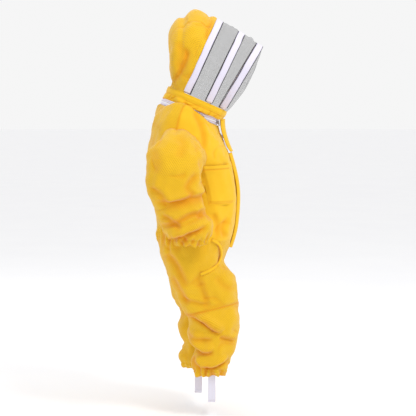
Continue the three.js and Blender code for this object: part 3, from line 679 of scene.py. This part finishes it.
def gathers(folds, middle_z, spread, depth, seed, wavelength, where=1.0):
    """Upright pleats round a gathered edge."""
    p = folds.p
    pleat = field(seed, wavelength, (1, 1, 5))(p)
    near = bell(p[..., 2], middle_z, spread) * where
    folds.out += depth * near * pleat
    # painted shade in the pleats' valleys
    folds.shade += 0.8 * near * smooth(-pleat, 0.0, 0.8)


def waist_gathers(folds, base):
    """The waist's elastic, which runs on from the trunk into the legs at the back."""
    gathers(folds, WAIST_Z, 34, 3.4, 5, 17, smooth(base[..., 1], -5, 30))


def elastic_channel(folds, v, top, flat, width):
    """The hem's channel of doubled cloth, with its row of stitches at the top."""
    channel = smooth(v, top[1], flat) * (1 - smooth(v, 0.985, 1.0))
    folds.out += 1.2 * channel - 1.5 * bell(v, top[0], width)


def armhole_x(z):
    """The armhole's plane, which leans out towards the shoulder."""
    return ARMHOLE_X + ARMHOLE["lean"] * (z - ARMHOLE["z"])


def armhole_limit(p):
    """Keeps the body's sides inside the armhole's plane just under the arm."""
    z = p[..., 2]
    most = armhole_x(z) - 0.4
    under = (z < -180) & (z > -225)
    p[..., 0] = np.where(under, np.clip(p[..., 0], -most, most), p[..., 0])


def armhole_plane(mesh, side):
    """Cuts the armhole."""
    with edited(mesh) as b:
        high = {v for v in b.verts if v.co.z > ARMHOLE_LOWEST_Z * MM}
        edges = [e for e in b.edges if high.issuperset(e.verts)]
        faces = [f for f in b.faces if high.issuperset(f.verts)]
        bmesh.ops.bisect_plane(
            b, geom=[v for v in b.verts if v in high] + edges + faces, clear_outer=True,
            dist=1e-7, plane_co=(side * ARMHOLE_X * MM, 0, ARMHOLE["z"] * MM),
            plane_no=(side, 0, -ARMHOLE["lean"]))


def rim_radius(meshes, side):
    """The cut armhole's radius from its middle against direction, read off the cut edges."""
    points = []
    for mesh in meshes:
        for vertex in mesh.vertices:
            x, y, z = vertex.co / MM
            if abs(side * x - armhole_x(z)) < 0.01:
                points.append((math.atan2(z - ARMHOLE["z"], y - ARMHOLE["y"]),
                               math.hypot(z - ARMHOLE["z"], y - ARMHOLE["y"])))
    way, radius = np.array(sorted(points)).T

    def at(angle):
        return np.interp(angle, way, radius, period=2 * math.pi)

    return at


def make_trunk():
    """The back and two fronts, cut from one surface. Returns each armhole's radius."""
    cols, rows = 208, 118
    angle = turn(cols)[None, :]
    v = down_rows(rows)
    base = body_surface(angle, v, TRUNK_LOW_Z)
    out, shade = np.zeros((rows, cols)), np.zeros((rows, cols))
    for name, side in SIDES.items():
        f = Folds(base, True, side)
        f.line([(-10, 10), (-24, -25), (-36, -66), (-35, -100)], 7, 5, 5)
        f.line([(108, -60), (96, -110), (84, -150)], 9, 3, 2)
        f.line([(20, -172), (-30, -205), (-80, -212)], 9, 3.5, 2.5)
        f.line([(100, -250), (60, -262), (30, -300)], 9, 4, 3)
        f.line([(-105, -285), (-85, -312), (-95, -340)], 8, 5, 4)
        f.line([(-60, -270), (-72, -300), (-70, -345)], 8, 4, 3)
        random_folds(f, 11 if side == RIGHT else 21, 0.9, 1.6)
        f.out *= smooth(base[..., 2], TRUNK_LOW_Z, TRUNK_LOW_Z + 16)
        waist_gathers(f, base)
        calm = 1 - 0.8 * bell(base[..., 0], 0, 26) * (base[..., 1] < 0)
        neck = smooth(v, 0.0, 0.06)
        out += f.out * f.mask * calm * neck
        shade += f.shade * f.mask
    side_seam = bell(np.abs(angle - math.pi), math.pi / 2, 0.02)
    out -= 1.0 * side_seam * smooth(v, 0.0, 0.05)
    # painted shade along the side seams' groove
    shade += 0.8 * side_seam
    moved = base + normals(base, True) * out[..., None]
    armhole_limit(moved)
    quarter = cols // 4
    ring, ring_shade, smooth_ring = wrapped(moved), wrapped(shade), wrapped(base)
    spans = {"front_right": (0, quarter), "back": (quarter, 3 * quarter),
             "front_left": (3 * quarter, 4 * quarter)}
    meshes = {}
    for name, (a, b) in spans.items():
        part = slice(a, b + 1)
        p = ring[:, part].copy()
        if name.startswith("front"):
            edge = 0 if name == "front_right" else -1
            p[:, edge, 0] = (-1 if edge == 0 else 1) * 9.0
        meshes[name] = grid_mesh(name, p, shade=ring_shade[:, part])
        for side in (RIGHT, LEFT):
            armhole_plane(meshes[name], side)
    rims = {side: rim_radius(meshes.values(), side) for side in (RIGHT, LEFT)}
    replaced = {"front_right": ["front_panel_right"], "front_left": ["front_panel_left"],
                "back": ["back_panel", "waist_elastic"]}
    for name, (a, b) in spans.items():
        cloth = VENTILATED if name == "back" else COTTON
        obj = piece("trunk_" + name, meshes[name], cloth, "suit", replaced[name], CLOTH)
    return rims


def cloth_tube(name, folds, replaced, hole=None):
    """A tube of ventilated cloth that crosses a joint."""
    mesh = grid_mesh(name, folds.done(), True, folds.shade, hole)
    drop_loose(mesh)
    obj = piece(name, mesh, VENTILATED, None, replaced, CLOTH)
    return obj


def make_sleeve(side, name, rim):
    """An upper sleeve sewn to the armhole, and a lower one tucked into it at the elbow."""
    cols = 128
    angle = turn(cols)
    if side == RIGHT:
        angle = angle[::-1]
    elbow_run = UNDERARM_Z - ELBOW_Z
    tuck = elbow_run - 6 + 20 * np.sin(angle)
    bent = 0.08 + 0.92 * smooth(np.cos(angle - math.radians(225)), -0.15, 0.75)[None, :]
    wrist_run = UNDERARM_Z - WRIST_Z

    rows = 92
    v = down_rows(rows)
    run = lerp(-CAP_LENGTH, tuck[None, :], v)
    base = sleeve_section(side, angle[None, :], run)
    head = sleeve_section(side, angle, -CAP_LENGTH)
    way = np.arctan2(head[:, 2] - ARMHOLE["z"], head[:, 1] - ARMHOLE["y"])
    radius = rim(way)
    z = ARMHOLE["z"] + radius * np.sin(way)
    sewn = np.stack([side * (armhole_x(z) + 0.3), ARMHOLE["y"] + radius * np.cos(way), z], -1)
    near = 1 - smooth(run, -CAP_LENGTH, -CAP_LENGTH + 42)
    base = base + (sewn - head)[None] * near[..., None]
    f = Folds(base, True, side)
    random_folds(f, 31 + side, 1.1, 1.5)
    f.line([(104, -196), (78, -214), (56, -240)], 9, 5, 4)
    f.line([(-22, -160), (6, -192), (-6, -216)], 9, 5, 4)
    f.line([(90, -232), (50, -238), (10, -226), (-14, -208)], 8, 6, 5)
    f.line([(26, -60), (20, -92), (30, -120)], 13, 3, 2)
    f.line([(96, -96), (84, -130), (92, -160)], 13, 3, 2)
    swell = np.sin(np.clip((v - 0.02) / 0.5, 0, 1) * math.pi)
    f.out += 2.0 * swell
    f.out *= smooth(v, 0.0, 0.06)
    hem = smooth(v, 0.90, 1.0)
    f.out += 4.5 * bent * smooth(v, 0.78, 0.93) * (1 - hem) - (0.4 + 6.6 * bent) * hem
    # painted shade where the hem draws in at the elbow and along the sleeve head's seam
    f.shade += hem * bent + 0.9 * bell(v, 0, 0.02)
    obj = cloth_tube("upper_sleeve_cloth_" + name, f,
                     ["upper_sleeve_" + name])
    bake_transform(obj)

    rows = 78
    v = down_rows(rows)
    top = tuck[None, :] - 14
    run = lerp(top, wrist_run + 0 * top, v)
    base = sleeve_section(side, angle[None, :], run)
    f = Folds(base, True, side)
    random_folds(f, 41 + side, 1.1, 1.2)
    f.line([(78, -300), (40, -290), (-8, -266), (-40, -274)], 8, 7, 6)
    f.line([(60, -338), (38, -332), (0, -316), (-46, -297)], 8, 11, 10, 4)
    f.line([(74, -270), (48, -282), (24, -306)], 8, 6, 5)
    f.line([(-20, -258), (-40, -262), (-56, -284)], 7, 5, 5)
    gathers(f, WRIST_Z + 2, 26, 4.0, 51, 15)
    f.out *= smooth(v, 0.0, 0.1)
    f.out -= (3.0 + 5.4 * bent) * (1 - smooth(v, 0.04, lerp(0.14, 0.24, bent)))
    # painted shade at the top, which goes in under the upper sleeve
    f.shade += (1 - smooth(v, 0.08, 0.28)) * bent
    elastic_channel(f, v, (0.9, 0.9), 0.92, 0.012)
    obj = cloth_tube(
        "lower_sleeve_cloth_" + name, f,
        [node + name for node in ("elbow_cloth_", "lower_sleeve_", "wrist_elastic_")])
    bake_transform(obj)


def blend_at_hip(obj):
    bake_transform(obj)


def make_leg(side, name):
    """A trouser leg down to its knee seam, and the shin below it down to the gathered ankle."""
    cols = 150
    s = np.linspace(0, 1, cols, endpoint=False)
    if side == LEFT:
        s = s[::-1]
    shift = STRIDE if side == LEFT else 0
    seam = knee_seam_z(side, s)[None, :]

    rows = 74
    v = down_rows(rows)
    z = lerp(TRUNK_LOW_Z + 0 * seam, seam, v)
    base = leg_surface(side, s[None, :], z)
    f = Folds(base, True, side)
    random_folds(f, 61 + side, 1.0, 1.8)
    f.line([(-60, -340), (-78, -356), (-84, -376), (-80, -400), (-54, -424), (-28, -436)], 4, 4, 2)
    f.line([(-20, -410), (-36, -455), (-48, -500), (-54, -528)], 3, 2, 1)
    f.line([(62, -380), (34, -416), (8, -470)], 11, 6, 5)
    f.line([(50, -440), (28, -480), (8, -522)], 10, 6, 5)
    f.line([(-20, -440), (-34, -480), (-48, -524)], 8, 4, 5)
    f.line([(-70, -440), (-90, -465), (-118, -480)], 9, 3, 2)
    f.line([(30, -500), (-10, -512), (-50, -520)], 7, 4, 3, 0, shift * 0.4)
    f.out *= smooth(v, 0.0, 0.09) * smooth(1 - v, 0.0, 0.06)
    waist_gathers(f, base)
    inner = (s[None, :] >= OUTER_SHARE) & (z > LEG_ROUND_Z)
    f.out = np.where(inner, 0, f.out)
    f.out -= 1.6 * bell(v, 1, 0.012)
    # painted shade along the knee seam's groove
    f.shade += 0.9 * bell(v, 1, 0.016)
    hole = (s[None, :] > OUTER_SHARE) & (z > CROTCH_Z)
    obj = cloth_tube("trouser_cloth_" + name, f,
                     ["hip_cloth_" + name, "thigh_" + name], hole)
    blend_at_hip(obj)

    rows = 96
    v = down_rows(rows)
    z = lerp(seam, ANKLE_Z + 0 * seam, v)
    base = leg_surface(side, s[None, :], z)
    f = Folds(base, True, side)
    random_folds(f, 71 + side, 1.15, 1.0)
    low = shift * 0.7
    f.line([(30, -530), (2, -548), (-27, -559), (-54, -577), (-82, -598)], 9, 12, 14, 9, shift * 0.5)
    f.line([(0, -598), (-20, -612), (-62, -612)], 8, 5, 6, 2, low)
    f.line([(4, -622), (-27, -648), (-64, -646)], 9, 11, 11, 5, low)
    f.line([(-78, -606), (-100, -612), (-126, -622)], 8, 7, 6, 2, low)
    f.line([(-30, -688), (-60, -690), (-106, -668)], 7, 11, 12, 5, shift * 0.95)
    f.line([(-8, -660), (-14, -680), (-30, -700)], 7, 7, 6, 0, shift * 0.9)
    back = smooth(base[..., 1], -40 + shift, -10 + shift)
    f.out += back * (9 * bell(z, -608, 26) + 8 * bell(z, -682, 16) - 6 * bell(z, -648, 12))
    gathers(f, ANKLE_Z + 4, 26, 4.0, 81, 15)
    f.out *= smooth(v, 0.0, 0.05)
    f.down *= smooth(v, 0.0, 0.06)
    f.out -= 1.6 * bell(v, 0, 0.01)
    # painted shade along the knee seam's groove at the top
    f.shade += 0.9 * bell(v, 0, 0.012)
    elastic_channel(f, v, (0.91, 0.915), 0.93, 0.01)
    obj = cloth_tube("shin_cloth_" + name, f,
                     [node + name for node in ("knee_cloth_", "shin_", "ankle_elastic_")])
    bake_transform(obj)


# ---- hood

HOOPS = {
    "rear": (107, 103, (-83, 250)),
    "middle": (75, 103, (-142, 216)),
    "front": (38, 94, (-191, 184)),
}
HOOD_APEX = [(-75, 255), (-68, 261), (-60, 261), (-52, 259), (-44, 268), (-30, 276), (-14, 279),
             (2, 272), (14, 258), (22, 257), (32, 257), (44, 245), (53, 222), (57, 184), (57, 151),
             (53, 112), (50, 88), (52, 76), (58, 66)]


def horseshoe(t, base, apex, half_width):
    """From the right foot over the apex to the left foot; widest three quarters of the way."""
    foot = -base[..., 0]
    wide = np.maximum(half_width, foot)
    dip = np.arccos(foot / wide)
    angle = lerp(-dip, math.pi + dip, t)
    waist = 0.75 * np.sin(dip)
    sine = np.sin(angle)
    rise = np.where(sine > 0, waist + (1 - waist) * sine, waist + 0.75 * sine)
    return np.stack([-wide * np.cos(angle), lerp(base[..., 1], apex[..., 0], rise),
                     lerp(base[..., 2], apex[..., 1], rise)], -1)


def hoop_point(name, t):
    """A point on one of the veil's hoops."""
    angle, half_width, top = HOOPS[name]
    t = np.asarray(t, float)
    base = np.broadcast_to(collar(math.radians(angle), BAND_TOP), t.shape + (3,))
    return horseshoe(t, base, np.broadcast_to(np.array(top, float), t.shape + (2,)), half_width)


def hood_surface(t, v):
    """The hood: t runs over the head from right to left, v back from the rear hoop to the nape."""
    t, v = np.broadcast_arrays(t, v)
    base = collar(np.radians(lerp(113, 150, v)), BAND_TOP - 4)
    line = spline(HOOD_APEX, 200)
    length = cumulative(np.linalg.norm(np.diff(line, axis=0), axis=1))
    along = v * length[-1]
    apex = np.stack([np.interp(along, length, line[:, 0]), np.interp(along, length, line[:, 1])],
                    -1)
    return horseshoe(t, base, apex, lerp(103, 53, v**2))


CROWN_SEAMS = (0.33, 0.67)  # shares of the way over the head


def make_hood():
    """Three panels of one creased surface: two sides and the crown between them."""
    t = np.linspace(0.0, 1.0, 131)[None, :]
    v = down_rows(100, 0.004)
    base = hood_surface(t, v)
    out, shade = np.zeros(base.shape[:2]), np.zeros(base.shape[:2])
    for side in (RIGHT, LEFT):
        f = Folds(base, False, side)
        random_folds(f, 91 + side, 0.8, 1.2)
        f.line([(12, 172), (9, 150), (20, 120), (34, 98), (50, 80)], 7, 7, -3)
        f.line([(30, 190), (22, 150), (32, 118)], 12, 4, 0)
        f.line([(-60, 254), (-52, 225), (-40, 190)], 7, 4, 2)
        f.line([(-70, 130), (-30, 110), (20, 90)], 9, 4, 3)
        out += f.out * f.mask
        shade += f.shade * f.mask
    edge = smooth(v, 0.0, 0.05) * smooth(1 - v, 0.0, 0.04)
    edge = edge * np.minimum(smooth(t, 0, 0.03), smooth(1 - t, 0, 0.03))
    seam = sum(bell(t, at, 0.006) for at in CROWN_SEAMS)
    moved = base + normals(base, False) * ((out - 1.2 * seam) * edge)[..., None]
    # painted shade along the crown seams' grooves
    shade += 0.5 * seam
    spans = {"side_right": (0, 43), "crown": (43, 87), "side_left": (87, 130)}
    for name, (a, b) in spans.items():
        mesh = grid_mesh("hood_" + name, moved[:, a:b + 1], shade=shade[:, a:b + 1])
        obj = piece("hood_cloth_" + name, mesh, VENTILATED, "hood", ["hood_" + name], CLOTH)


COLLAR_COLUMNS = 220


def closed_ring(name, section, material, body, replaced):
    """A ring round the collar from a closed section of (height, distance out)."""
    angle = turn(COLLAR_COLUMNS)[:, None]
    section = np.array(section, float)
    p = collar(angle, section[None, :, 0], section[None, :, 1])
    return piece(name, strip_mesh(name, p, True), material, body, [replaced])


def make_collar():
    """The hood's stitched band, the crumpled skirt under it and the neck zip's two tapes."""
    band = [(33, 0), (33.4, 1.6), (35.5, 2.1), (36.3, 1.5), (37.1, 2.1), (41, 2.5), (45.6, 2.1),
            (46.4, 1.5), (47.2, 2.1), (49.4, 1.6), (49.8, 0), (49.4, -2.6), (41, -3.2), (33.4, -2.6)]
    obj = closed_ring("hood_band_cloth", band, COTTON, "hood", "hood_band")

    angle = turn(COLLAR_COLUMNS)[None, :]
    v = down_rows(26)
    height = lerp(35.0, ZIP_HEIGHT + 0.4, v)
    base = collar(angle, height, -0.5)
    f = Folds(base, True, RIGHT)
    f.mask = np.ones_like(f.mask)
    slack = np.sin(np.pi * v) ** 0.8
    side = 0.35 + 0.65 * np.abs(np.sin(angle)) ** 2
    wave = field(101, 34, (1, 1, 1.2))(base)
    f.out += slack * side * (6.5 + 2.6 * wave)
    f.down += slack * side * (3.5 + 2.5 * field(103, 40)(base))
    crease = creases(base, 105, 46, (1, 1, 0.5), 0.3)
    f.out -= 2.8 * slack * crease
    # painted shade in the creases, under the band and along the zip
    f.shade += 0.7 * slack * crease + smooth(-v, -0.18, 0.0) + smooth(v, 0.86, 1.0)
    mesh = grid_mesh("skirt", f.done(), True, f.shade)
    obj = piece("hood_skirt_cloth", mesh, COTTON, "hood", ["hood_skirt"], CLOTH)

    for name, low, body in (("lower", 0.4, "suit"), ("upper", 9.9, "hood")):
        section = [(low, -0.9), (low + 7.4, -0.9), (low + 7.4, -2.1), (low, -2.1)]
        obj = closed_ring("neck_zip_tape_" + name, section, TAPE, body, "neck_zip_" + name)


def out_of_hoop(points):
    """Unit directions out of a hoop's curve, at right angles to the way the hood faces."""
    along = np.gradient(points, axis=0)
    out = np.cross(HOOP_FORWARD, along)
    return out / np.linalg.norm(out, axis=1)[:, None]


BINDING_OFFSET = 1.7  # of a binding's middle from the net's edge


def binding(name, line):
    """The narrow dark edging where a net meets a tape."""
    strip = strip_mesh("binding", ribbon(line, out_of_hoop(line), 1.9, 0.9, 0.1, 5))
    piece("veil_binding_" + name, strip, NET_EDGE, "hood")


def make_veil():
    """Three taped hoops, two bands of net between them and the bellied net in front."""
    t = np.linspace(0.006, 0.994, 150)
    for name in HOOPS:
        line = hoop_point(name, t)
        out = out_of_hoop(line)
        forward, outward = 0.8 * field(111, 60)(line), 0.5 * field(113, 50)(line)
        line = line + HOOP_FORWARD * forward[:, None] + out * outward[:, None]
        mesh = strip_mesh("tape", ribbon(line, out, HOOP_TAPE + 0.6, 1.5, -0.2, 9, 0.5))
        obj = piece("veil_tape_cloth_" + name, mesh, TAPE, "hood", ["veil_tape_" + name])
    strips = {"rear": ("rear", "middle"), "middle": ("middle", "front")}
    t = np.linspace(0.008, 0.992, 132)
    gap = HOOP_TAPE / 2 - 0.5
    for name, (behind, ahead) in strips.items():
        a = hoop_point(behind, t) + HOOP_FORWARD * gap
        b = hoop_point(ahead, t) - HOOP_FORWARD * gap
        v = np.linspace(0, 1, 40)[:, None, None]
        base = lerp(a[None], b[None], v)
        n = normals(base, False)
        belly = np.sin(np.pi * v[..., 0])
        top = bell(t[None, :], 0.5, 0.16)
        sag = -5.0 * belly * (0.4 + 0.6 * top)
        crumple = 2.2 * belly * top * field(121, 26, (1, 0.6, 1))(base)
        soft = 1.2 * belly * field(123, 70)(base)
        p = base + n * (sag * 0.6 + crumple + soft)[..., None]
        angles = np.radians(lerp(HOOPS[behind][0], HOOPS[ahead][0], v[:, 0, 0]))
        feet = [collar(way * angles, BAND_TOP - 4, -1.0)[:, None] for way in (1, -1)]
        p = np.concatenate([feet[0], p, feet[1]], 1)
        mesh = grid_mesh("net_" + name, p)
        obj = piece("veil_net_cloth_" + name, mesh, NET, "hood", ["veil_net_" + name])
        binding(name + "_rear", base[0] + HOOP_FORWARD * BINDING_OFFSET)
        binding(name + "_front", base[-1] - HOOP_FORWARD * BINDING_OFFSET)

    angle = HOOPS["front"][0]
    t = np.linspace(0.02, 0.98, 90)
    low = collar(np.radians(lerp(angle, -angle, t)), BAND_TOP - 3)
    high = hoop_point("front", t) + HOOP_FORWARD * gap
    v = np.linspace(0, 1, 56)[:, None, None]
    base = lerp(high[None], low[None], v)
    forward = 15 * np.sin(np.pi * v[..., 0]) ** 0.8 * np.sin(np.pi * t[None, :]) ** 0.7
    forward = forward + 2.0 * np.sin(np.pi * v[..., 0]) * field(131, 60)(base)
    mesh = grid_mesh("net_front", base + HOOP_FORWARD * forward[..., None])
    obj = piece("veil_net_cloth_front", mesh, NET, "hood", ["veil_net_front"])
    binding("front", hoop_point("front", t) + HOOP_FORWARD * (gap + BINDING_OFFSET))
    for name in HOOPS:
        put_material("hoop_wire_" + name, WIRE)


def put_material(node, material):
    """Gives a CAD node that stays visible one of the materials above."""
    bpy.data.objects[node].material_slots[0].material = material


# ---- front closure


def on_front(x, r, z):
    """A point over the front's arc: r is its height over the cloth."""
    angle = np.arcsin((np.asarray(z, float) - ARC_CENTRE[1]) / ARC_RADIUS)
    return np.stack([x + 0 * angle, ARC_CENTRE[0] - (ARC_RADIUS + r) * np.cos(angle),
                     ARC_CENTRE[1] + (ARC_RADIUS + r) * np.sin(angle)], -1)


def front_strip(name, section, top, bottom, steps, material, replaced, wave=0.0):
    """A strip down the front from a closed section of (x, height over the cloth)."""
    z = down_rows(steps, top, bottom)
    section = np.array(section, float)
    p = on_front(section[None, :, 0], section[None, :, 1] + wave * np.sin(z / 19), z)
    return piece(name, strip_mesh(name, p), material, "suit", [replaced])


def teeth_mesh(boxes):
    """The zip's teeth: small blocks, each given by its middle and size, on the front's arc."""
    b = bmesh.new()
    for middle, size in boxes:
        made = bmesh.ops.create_cube(b, size=1)["verts"]
        for vertex in made:
            vertex.co = Vector(m + c * k for m, c, k in zip(middle, vertex.co, size))
    for vertex in b.verts:
        vertex.co = Vector(on_front(*vertex.co)) * MM
    bmesh.ops.recalc_face_normals(b, faces=b.faces)
    mesh = bpy.data.meshes.new("teeth")
    b.to_mesh(mesh)
    b.free()
    return mesh


TEETH = 118  # on each side of the front zip
PLACKET_TOP_Z = -114


def make_front():
    """The front zip's tapes and teeth, and the placket folded over them."""
    for name, side in SIDES.items():
        edge = [(side * 0.5, -0.4), (side * 12.5, -0.6), (side * 12.5, -1.9), (side * 0.5, -2.0)]
        obj = front_strip("front_zip_cloth_" + name, edge, ZIP_TOP_Z, ZIP_BOTTOM_Z, 60, TAPE,
                          "front_zip_tape_" + name)
        teeth = []
        for k in range(TEETH):
            z = lerp(ZIP_TOP_Z - 2, ZIP_BOTTOM_Z + 2, (k + 0.25 + 0.5 * (side > 0)) / TEETH)
            teeth.append(((side * 0.35, 0.1, z), (2.6, 2.0, 1.35)))
        piece("front_zip_teeth_" + name, teeth_mesh(teeth), ZIP_METAL, "suit")
    placket = [(-18.0, 0.6), (-18.6, 2.2), (-17.6, 4.0), (-15.6, 6.0), (-13.4, 7.4), (-11.6, 9.0),
               (2, 10.9), (13.4, 10.5), (14.4, 10.0), (15.6, 10.5), (16.9, 9.8), (17.6, 8.0),
               (17.8, 1.0), (16.2, 0.8), (15.8, 7.6), (2, 8.8), (-11, 6.8), (-15.4, 1.4)]
    obj = front_strip("placket_cloth", placket, PLACKET_TOP_Z, ZIP_BOTTOM_Z - 8, 90, COTTON,
                      "front_zip_placket", 0.5)


TAB_TOP, TAB_BEND, TAB_END = np.array([(-93, -18), (-90, -54), (-115, -108)], float)


def tab_point(x, y, t):
    """A point on the throat tab: x across it, y out from it and t down it."""
    a, b, c = TAB_TOP, TAB_BEND, TAB_END
    t = np.asarray(t, float)[..., None]
    at = a * (1 - t) ** 2 + b * 2 * t * (1 - t) + c * t**2
    along = (b - a) * 2 * (1 - t) + (c - b) * 2 * t
    along /= np.linalg.norm(along, axis=-1)[..., None]
    return np.stack([x + 0 * at[..., 0], at[..., 0] + along[..., 1] * y,
                     at[..., 1] - along[..., 0] * y], -1)


def make_throat_tab():
    """A rounded, stitched flap that curves round the throat."""
    section = [(-1.0, 0.8), (-1.0, 2.4), (-0.93, 3.1), (-0.86, 2.7), (-0.78, 3.3), (0, 3.9),
               (0.78, 3.3), (0.86, 2.7), (0.93, 3.1), (1.0, 2.4), (1.0, 0.8), (0, 0.2)]
    section = np.array(section)
    t = down_rows(60)
    narrow = np.sqrt(1 - np.clip((t - 0.8) / 0.215, 0, 0.99) ** 2) ** 0.7
    flare = 1.0 - 0.12 * (1 - t)
    wrap = 11.0 * section[None, :, 0] ** 2 * (1 - 0.35 * t)
    p = tab_point(20 * narrow * flare * section[None, :, 0], section[None, :, 1] - wrap * narrow,
                  t + 0 * section[None, :, 0])
    obj = piece("throat_tab_cloth", strip_mesh("tab", p), COTTON, "throat_tab",
                ["throat_tab", "hook_patch"])


# ---- pockets and straps


def make_chest_pocket(side, name):
    """A patch pocket that stands a little off the front, with a hem and a double bottom seam."""
    high, low, inner, outer = -142, -249, 24, 68
    u = np.linspace(0, 1, 60)[None, :]
    v = down_rows(64)
    angle = np.radians(lerp(inner, outer, u))
    z = lerp(high, low, v)
    base = body_section(angle + 0 * z, z + 0 * angle)
    if side == LEFT:
        base[..., 0] *= -1
        base = base[:, ::-1]
    edge_u = np.minimum(smooth(u, 0, 0.1), smooth(1 - u, 0, 0.1))
    edge_v = smooth(1 - v, 0, 0.1)
    dome = 1.6 + 5.2 * edge_u * edge_v * (0.75 + 0.25 * np.sin(np.pi * v))
    f = Folds(base, False, side)
    f.mask = np.ones_like(f.mask)
    f.out += dome + 0.8 * field(141, 40)(base) * edge_u * edge_v
    hem = bell(z, high - 10, 1.6)
    seams = bell(z, low + 4, 1.2) + bell(z, low + 9, 1.2)
    f.out += 1.5 * smooth(z, high - 11, high - 9) - 1.1 * hem - 0.9 * seams
    # painted shade in the grooves of the hem and the bottom seams
    f.shade += 0.8 * hem + 0.7 * seams
    mesh = grid_mesh("chest_pocket", f.done(), shade=f.shade)
    obj = piece("chest_pocket_cloth_" + name, mesh, COTTON, "suit", ["chest_pocket_" + name],
                1.8)


def hip_x(y, z):
    """Half-width of the hip at a depth and height."""
    def width(half, middle, reach, n):
        return half * np.maximum(1 - np.abs((y - middle) / reach) ** n, 0) ** (1 / n)
    body = width(body_half_width(z), body_seam_y(z), body_seam_y(z) - front_y(z), 2.25)
    leg = LEG_MIDDLE_X + width(leg_half_width(z), leg_middle_y(z), leg_half_depth(z), 2.3)
    return lerp(body, leg, smooth(-z, -LEG_SPLIT_Z, -LEG_ROUND_Z))


def make_hip_pocket(side, name):
    """The welt round the hip pocket's curved mouth."""
    y, z = spline([(-58, -342), (-76, -355), (-83, -374), (-82, -392), (-73, -411), (-54, -423),
                   (-28, -434)], 70).T
    line = np.stack([side * hip_x(y, z), y, z], -1)
    step = 0.5
    slope_y = (hip_x(y - step, z) - hip_x(y + step, z)) / (2 * step)
    slope_z = (hip_x(y, z - step) - hip_x(y, z + step)) / (2 * step)
    n = np.stack([side + 0 * y, slope_y, slope_z], -1)
    n /= np.linalg.norm(n, axis=1)[:, None]
    strip = strip_mesh("welt", ribbon(line, n, 8.5, 3.4, 1.4, 9, 0.6))
    obj = piece("hip_pocket_edge_" + name, strip, COTTON, None,
                ["hip_pocket_welt_" + name, "hip_pocket_bag_" + name])
    blend_at_hip(obj)


def make_strap(side, name):
    """A white elastic loop that hangs from both sides of the ankle and passes under the foot."""
    top, half, corner, drop = ANKLE_Z + 12, 21, 15, 90
    middle_y = -59 + (STRIDE if side == LEFT else 0)
    low = top - drop + 4
    down = [(-half - 1, top), (-half - 1.5, top - 25), (-half, low + corner)]
    bend = [(-half + corner * (1 - math.cos(a)), low + corner * (1 - math.sin(a)))
            for a in np.radians([30, 60, 90])]
    path = down + bend
    path += [(-x, z) for x, z in path[::-1]]
    line = spline(path, 120)
    line = np.stack([side * LEG_MIDDLE_X + line[:, 0], middle_y + 0 * line[:, 0], line[:, 1]], -1)
    along = np.gradient(line, axis=0)
    n = np.cross(along, [0, 1, 0])
    n /= np.linalg.norm(n, axis=1)[:, None]
    line[:, 1] += np.sin(np.linspace(0, 6, len(line)))
    strip = strip_mesh("strap", ribbon(line, n, 19, 1.7, -0.8, 9, 0.3))
    obj = piece("foot_strap_cloth_" + name, strip, ELASTIC, "strap_" + name,
                ["foot_strap_" + name])


# ---- stage


def make_stage():
    """A plain white floor that runs out to the horizon."""
    low, reach = -0.83, 60.0
    floor = bpy.data.meshes.new("floor")
    ring = [(reach * math.cos(a), reach * math.sin(a), low) for a in turn(48)]
    floor.from_pydata(ring, [], [tuple(range(len(ring)))])
    n = Nodes("backdrop")
    n.fine(Base_Color=n.mix(n.noise(3.0), colour(250, 250, 252), colour(254, 254, 255)))
    n.fine(Roughness=0.95, Specular_IOR_Level=0.1)
    floor.materials.append(n.material)
    placed("backdrop", floor)


def aim(obj, where, target):
    """Puts a lamp or camera somewhere and turns it to its target."""
    obj.location = where
    obj.rotation_euler = (Vector(target) - Vector(where)).to_track_quat("-Z", "Y").to_euler()


def light(name, where, target, size, energy):
    """A round soft box."""
    data = bpy.data.lights.new(name, "AREA")
    data.shape, data.size, data.energy = "DISK", size, energy
    aim(placed(name, data), where, target)


def make_lights_and_camera():
    """Even light from a white room with three soft lamps, and a long lens."""
    middle = (0, -0.05, -0.26)  # of the suit
    light("key", (-1.5, -1.5, 2.1), middle, 0.8, 30)
    light("top", (0.2, 0.4, 2.6), middle, 1.4, 5)
    light("far", (2.0, 1.2, 1.6), middle, 1.4, 8)
    world = bpy.data.worlds.new("studio")
    world.use_nodes = True
    background = world.node_tree.nodes["Background"]
    background.inputs["Color"].default_value = (1, 1, 1, 1)
    background.inputs["Strength"].default_value = 0.92
    bpy.context.scene.world = world
    bpy.context.scene.view_settings.view_transform = "Standard"
    camera = bpy.data.cameras.new("camera")
    camera.lens, camera.sensor_width = 113, 36
    target = Vector((0, -0.0495, -0.264))
    azimuth = math.radians(269.2)
    distance = 3.6
    where = target + Vector((math.sin(azimuth), -math.cos(azimuth), 0)) * distance
    where.z = 0.0
    bpy.context.scene.camera = placed("camera", camera)
    aim(bpy.context.scene.camera, where, target)


def finish_cad_nodes():
    """Looks for the CAD nodes that stay visible."""
    for node in ("front_zip_stop", "front_zip_slider", "front_zip_pull", "neck_zip_slider_right",
                 "neck_zip_slider_left", "neck_zip_pull_right", "neck_zip_pull_left"):
        put_material(node, ZIP_METAL)
    put_material("loop_patch", TAPE)


make_lights_and_camera()
make_stage()
rims = make_trunk()
for side_name, side_sign in SIDES.items():
    make_sleeve(side_sign, side_name, rims[side_sign])
    make_leg(side_sign, side_name)
    make_chest_pocket(side_sign, side_name)
    make_hip_pocket(side_sign, side_name)
    make_strap(side_sign, side_name)
make_hood()
make_collar()
make_veil()
make_front()
make_throat_tab()
finish_cad_nodes()
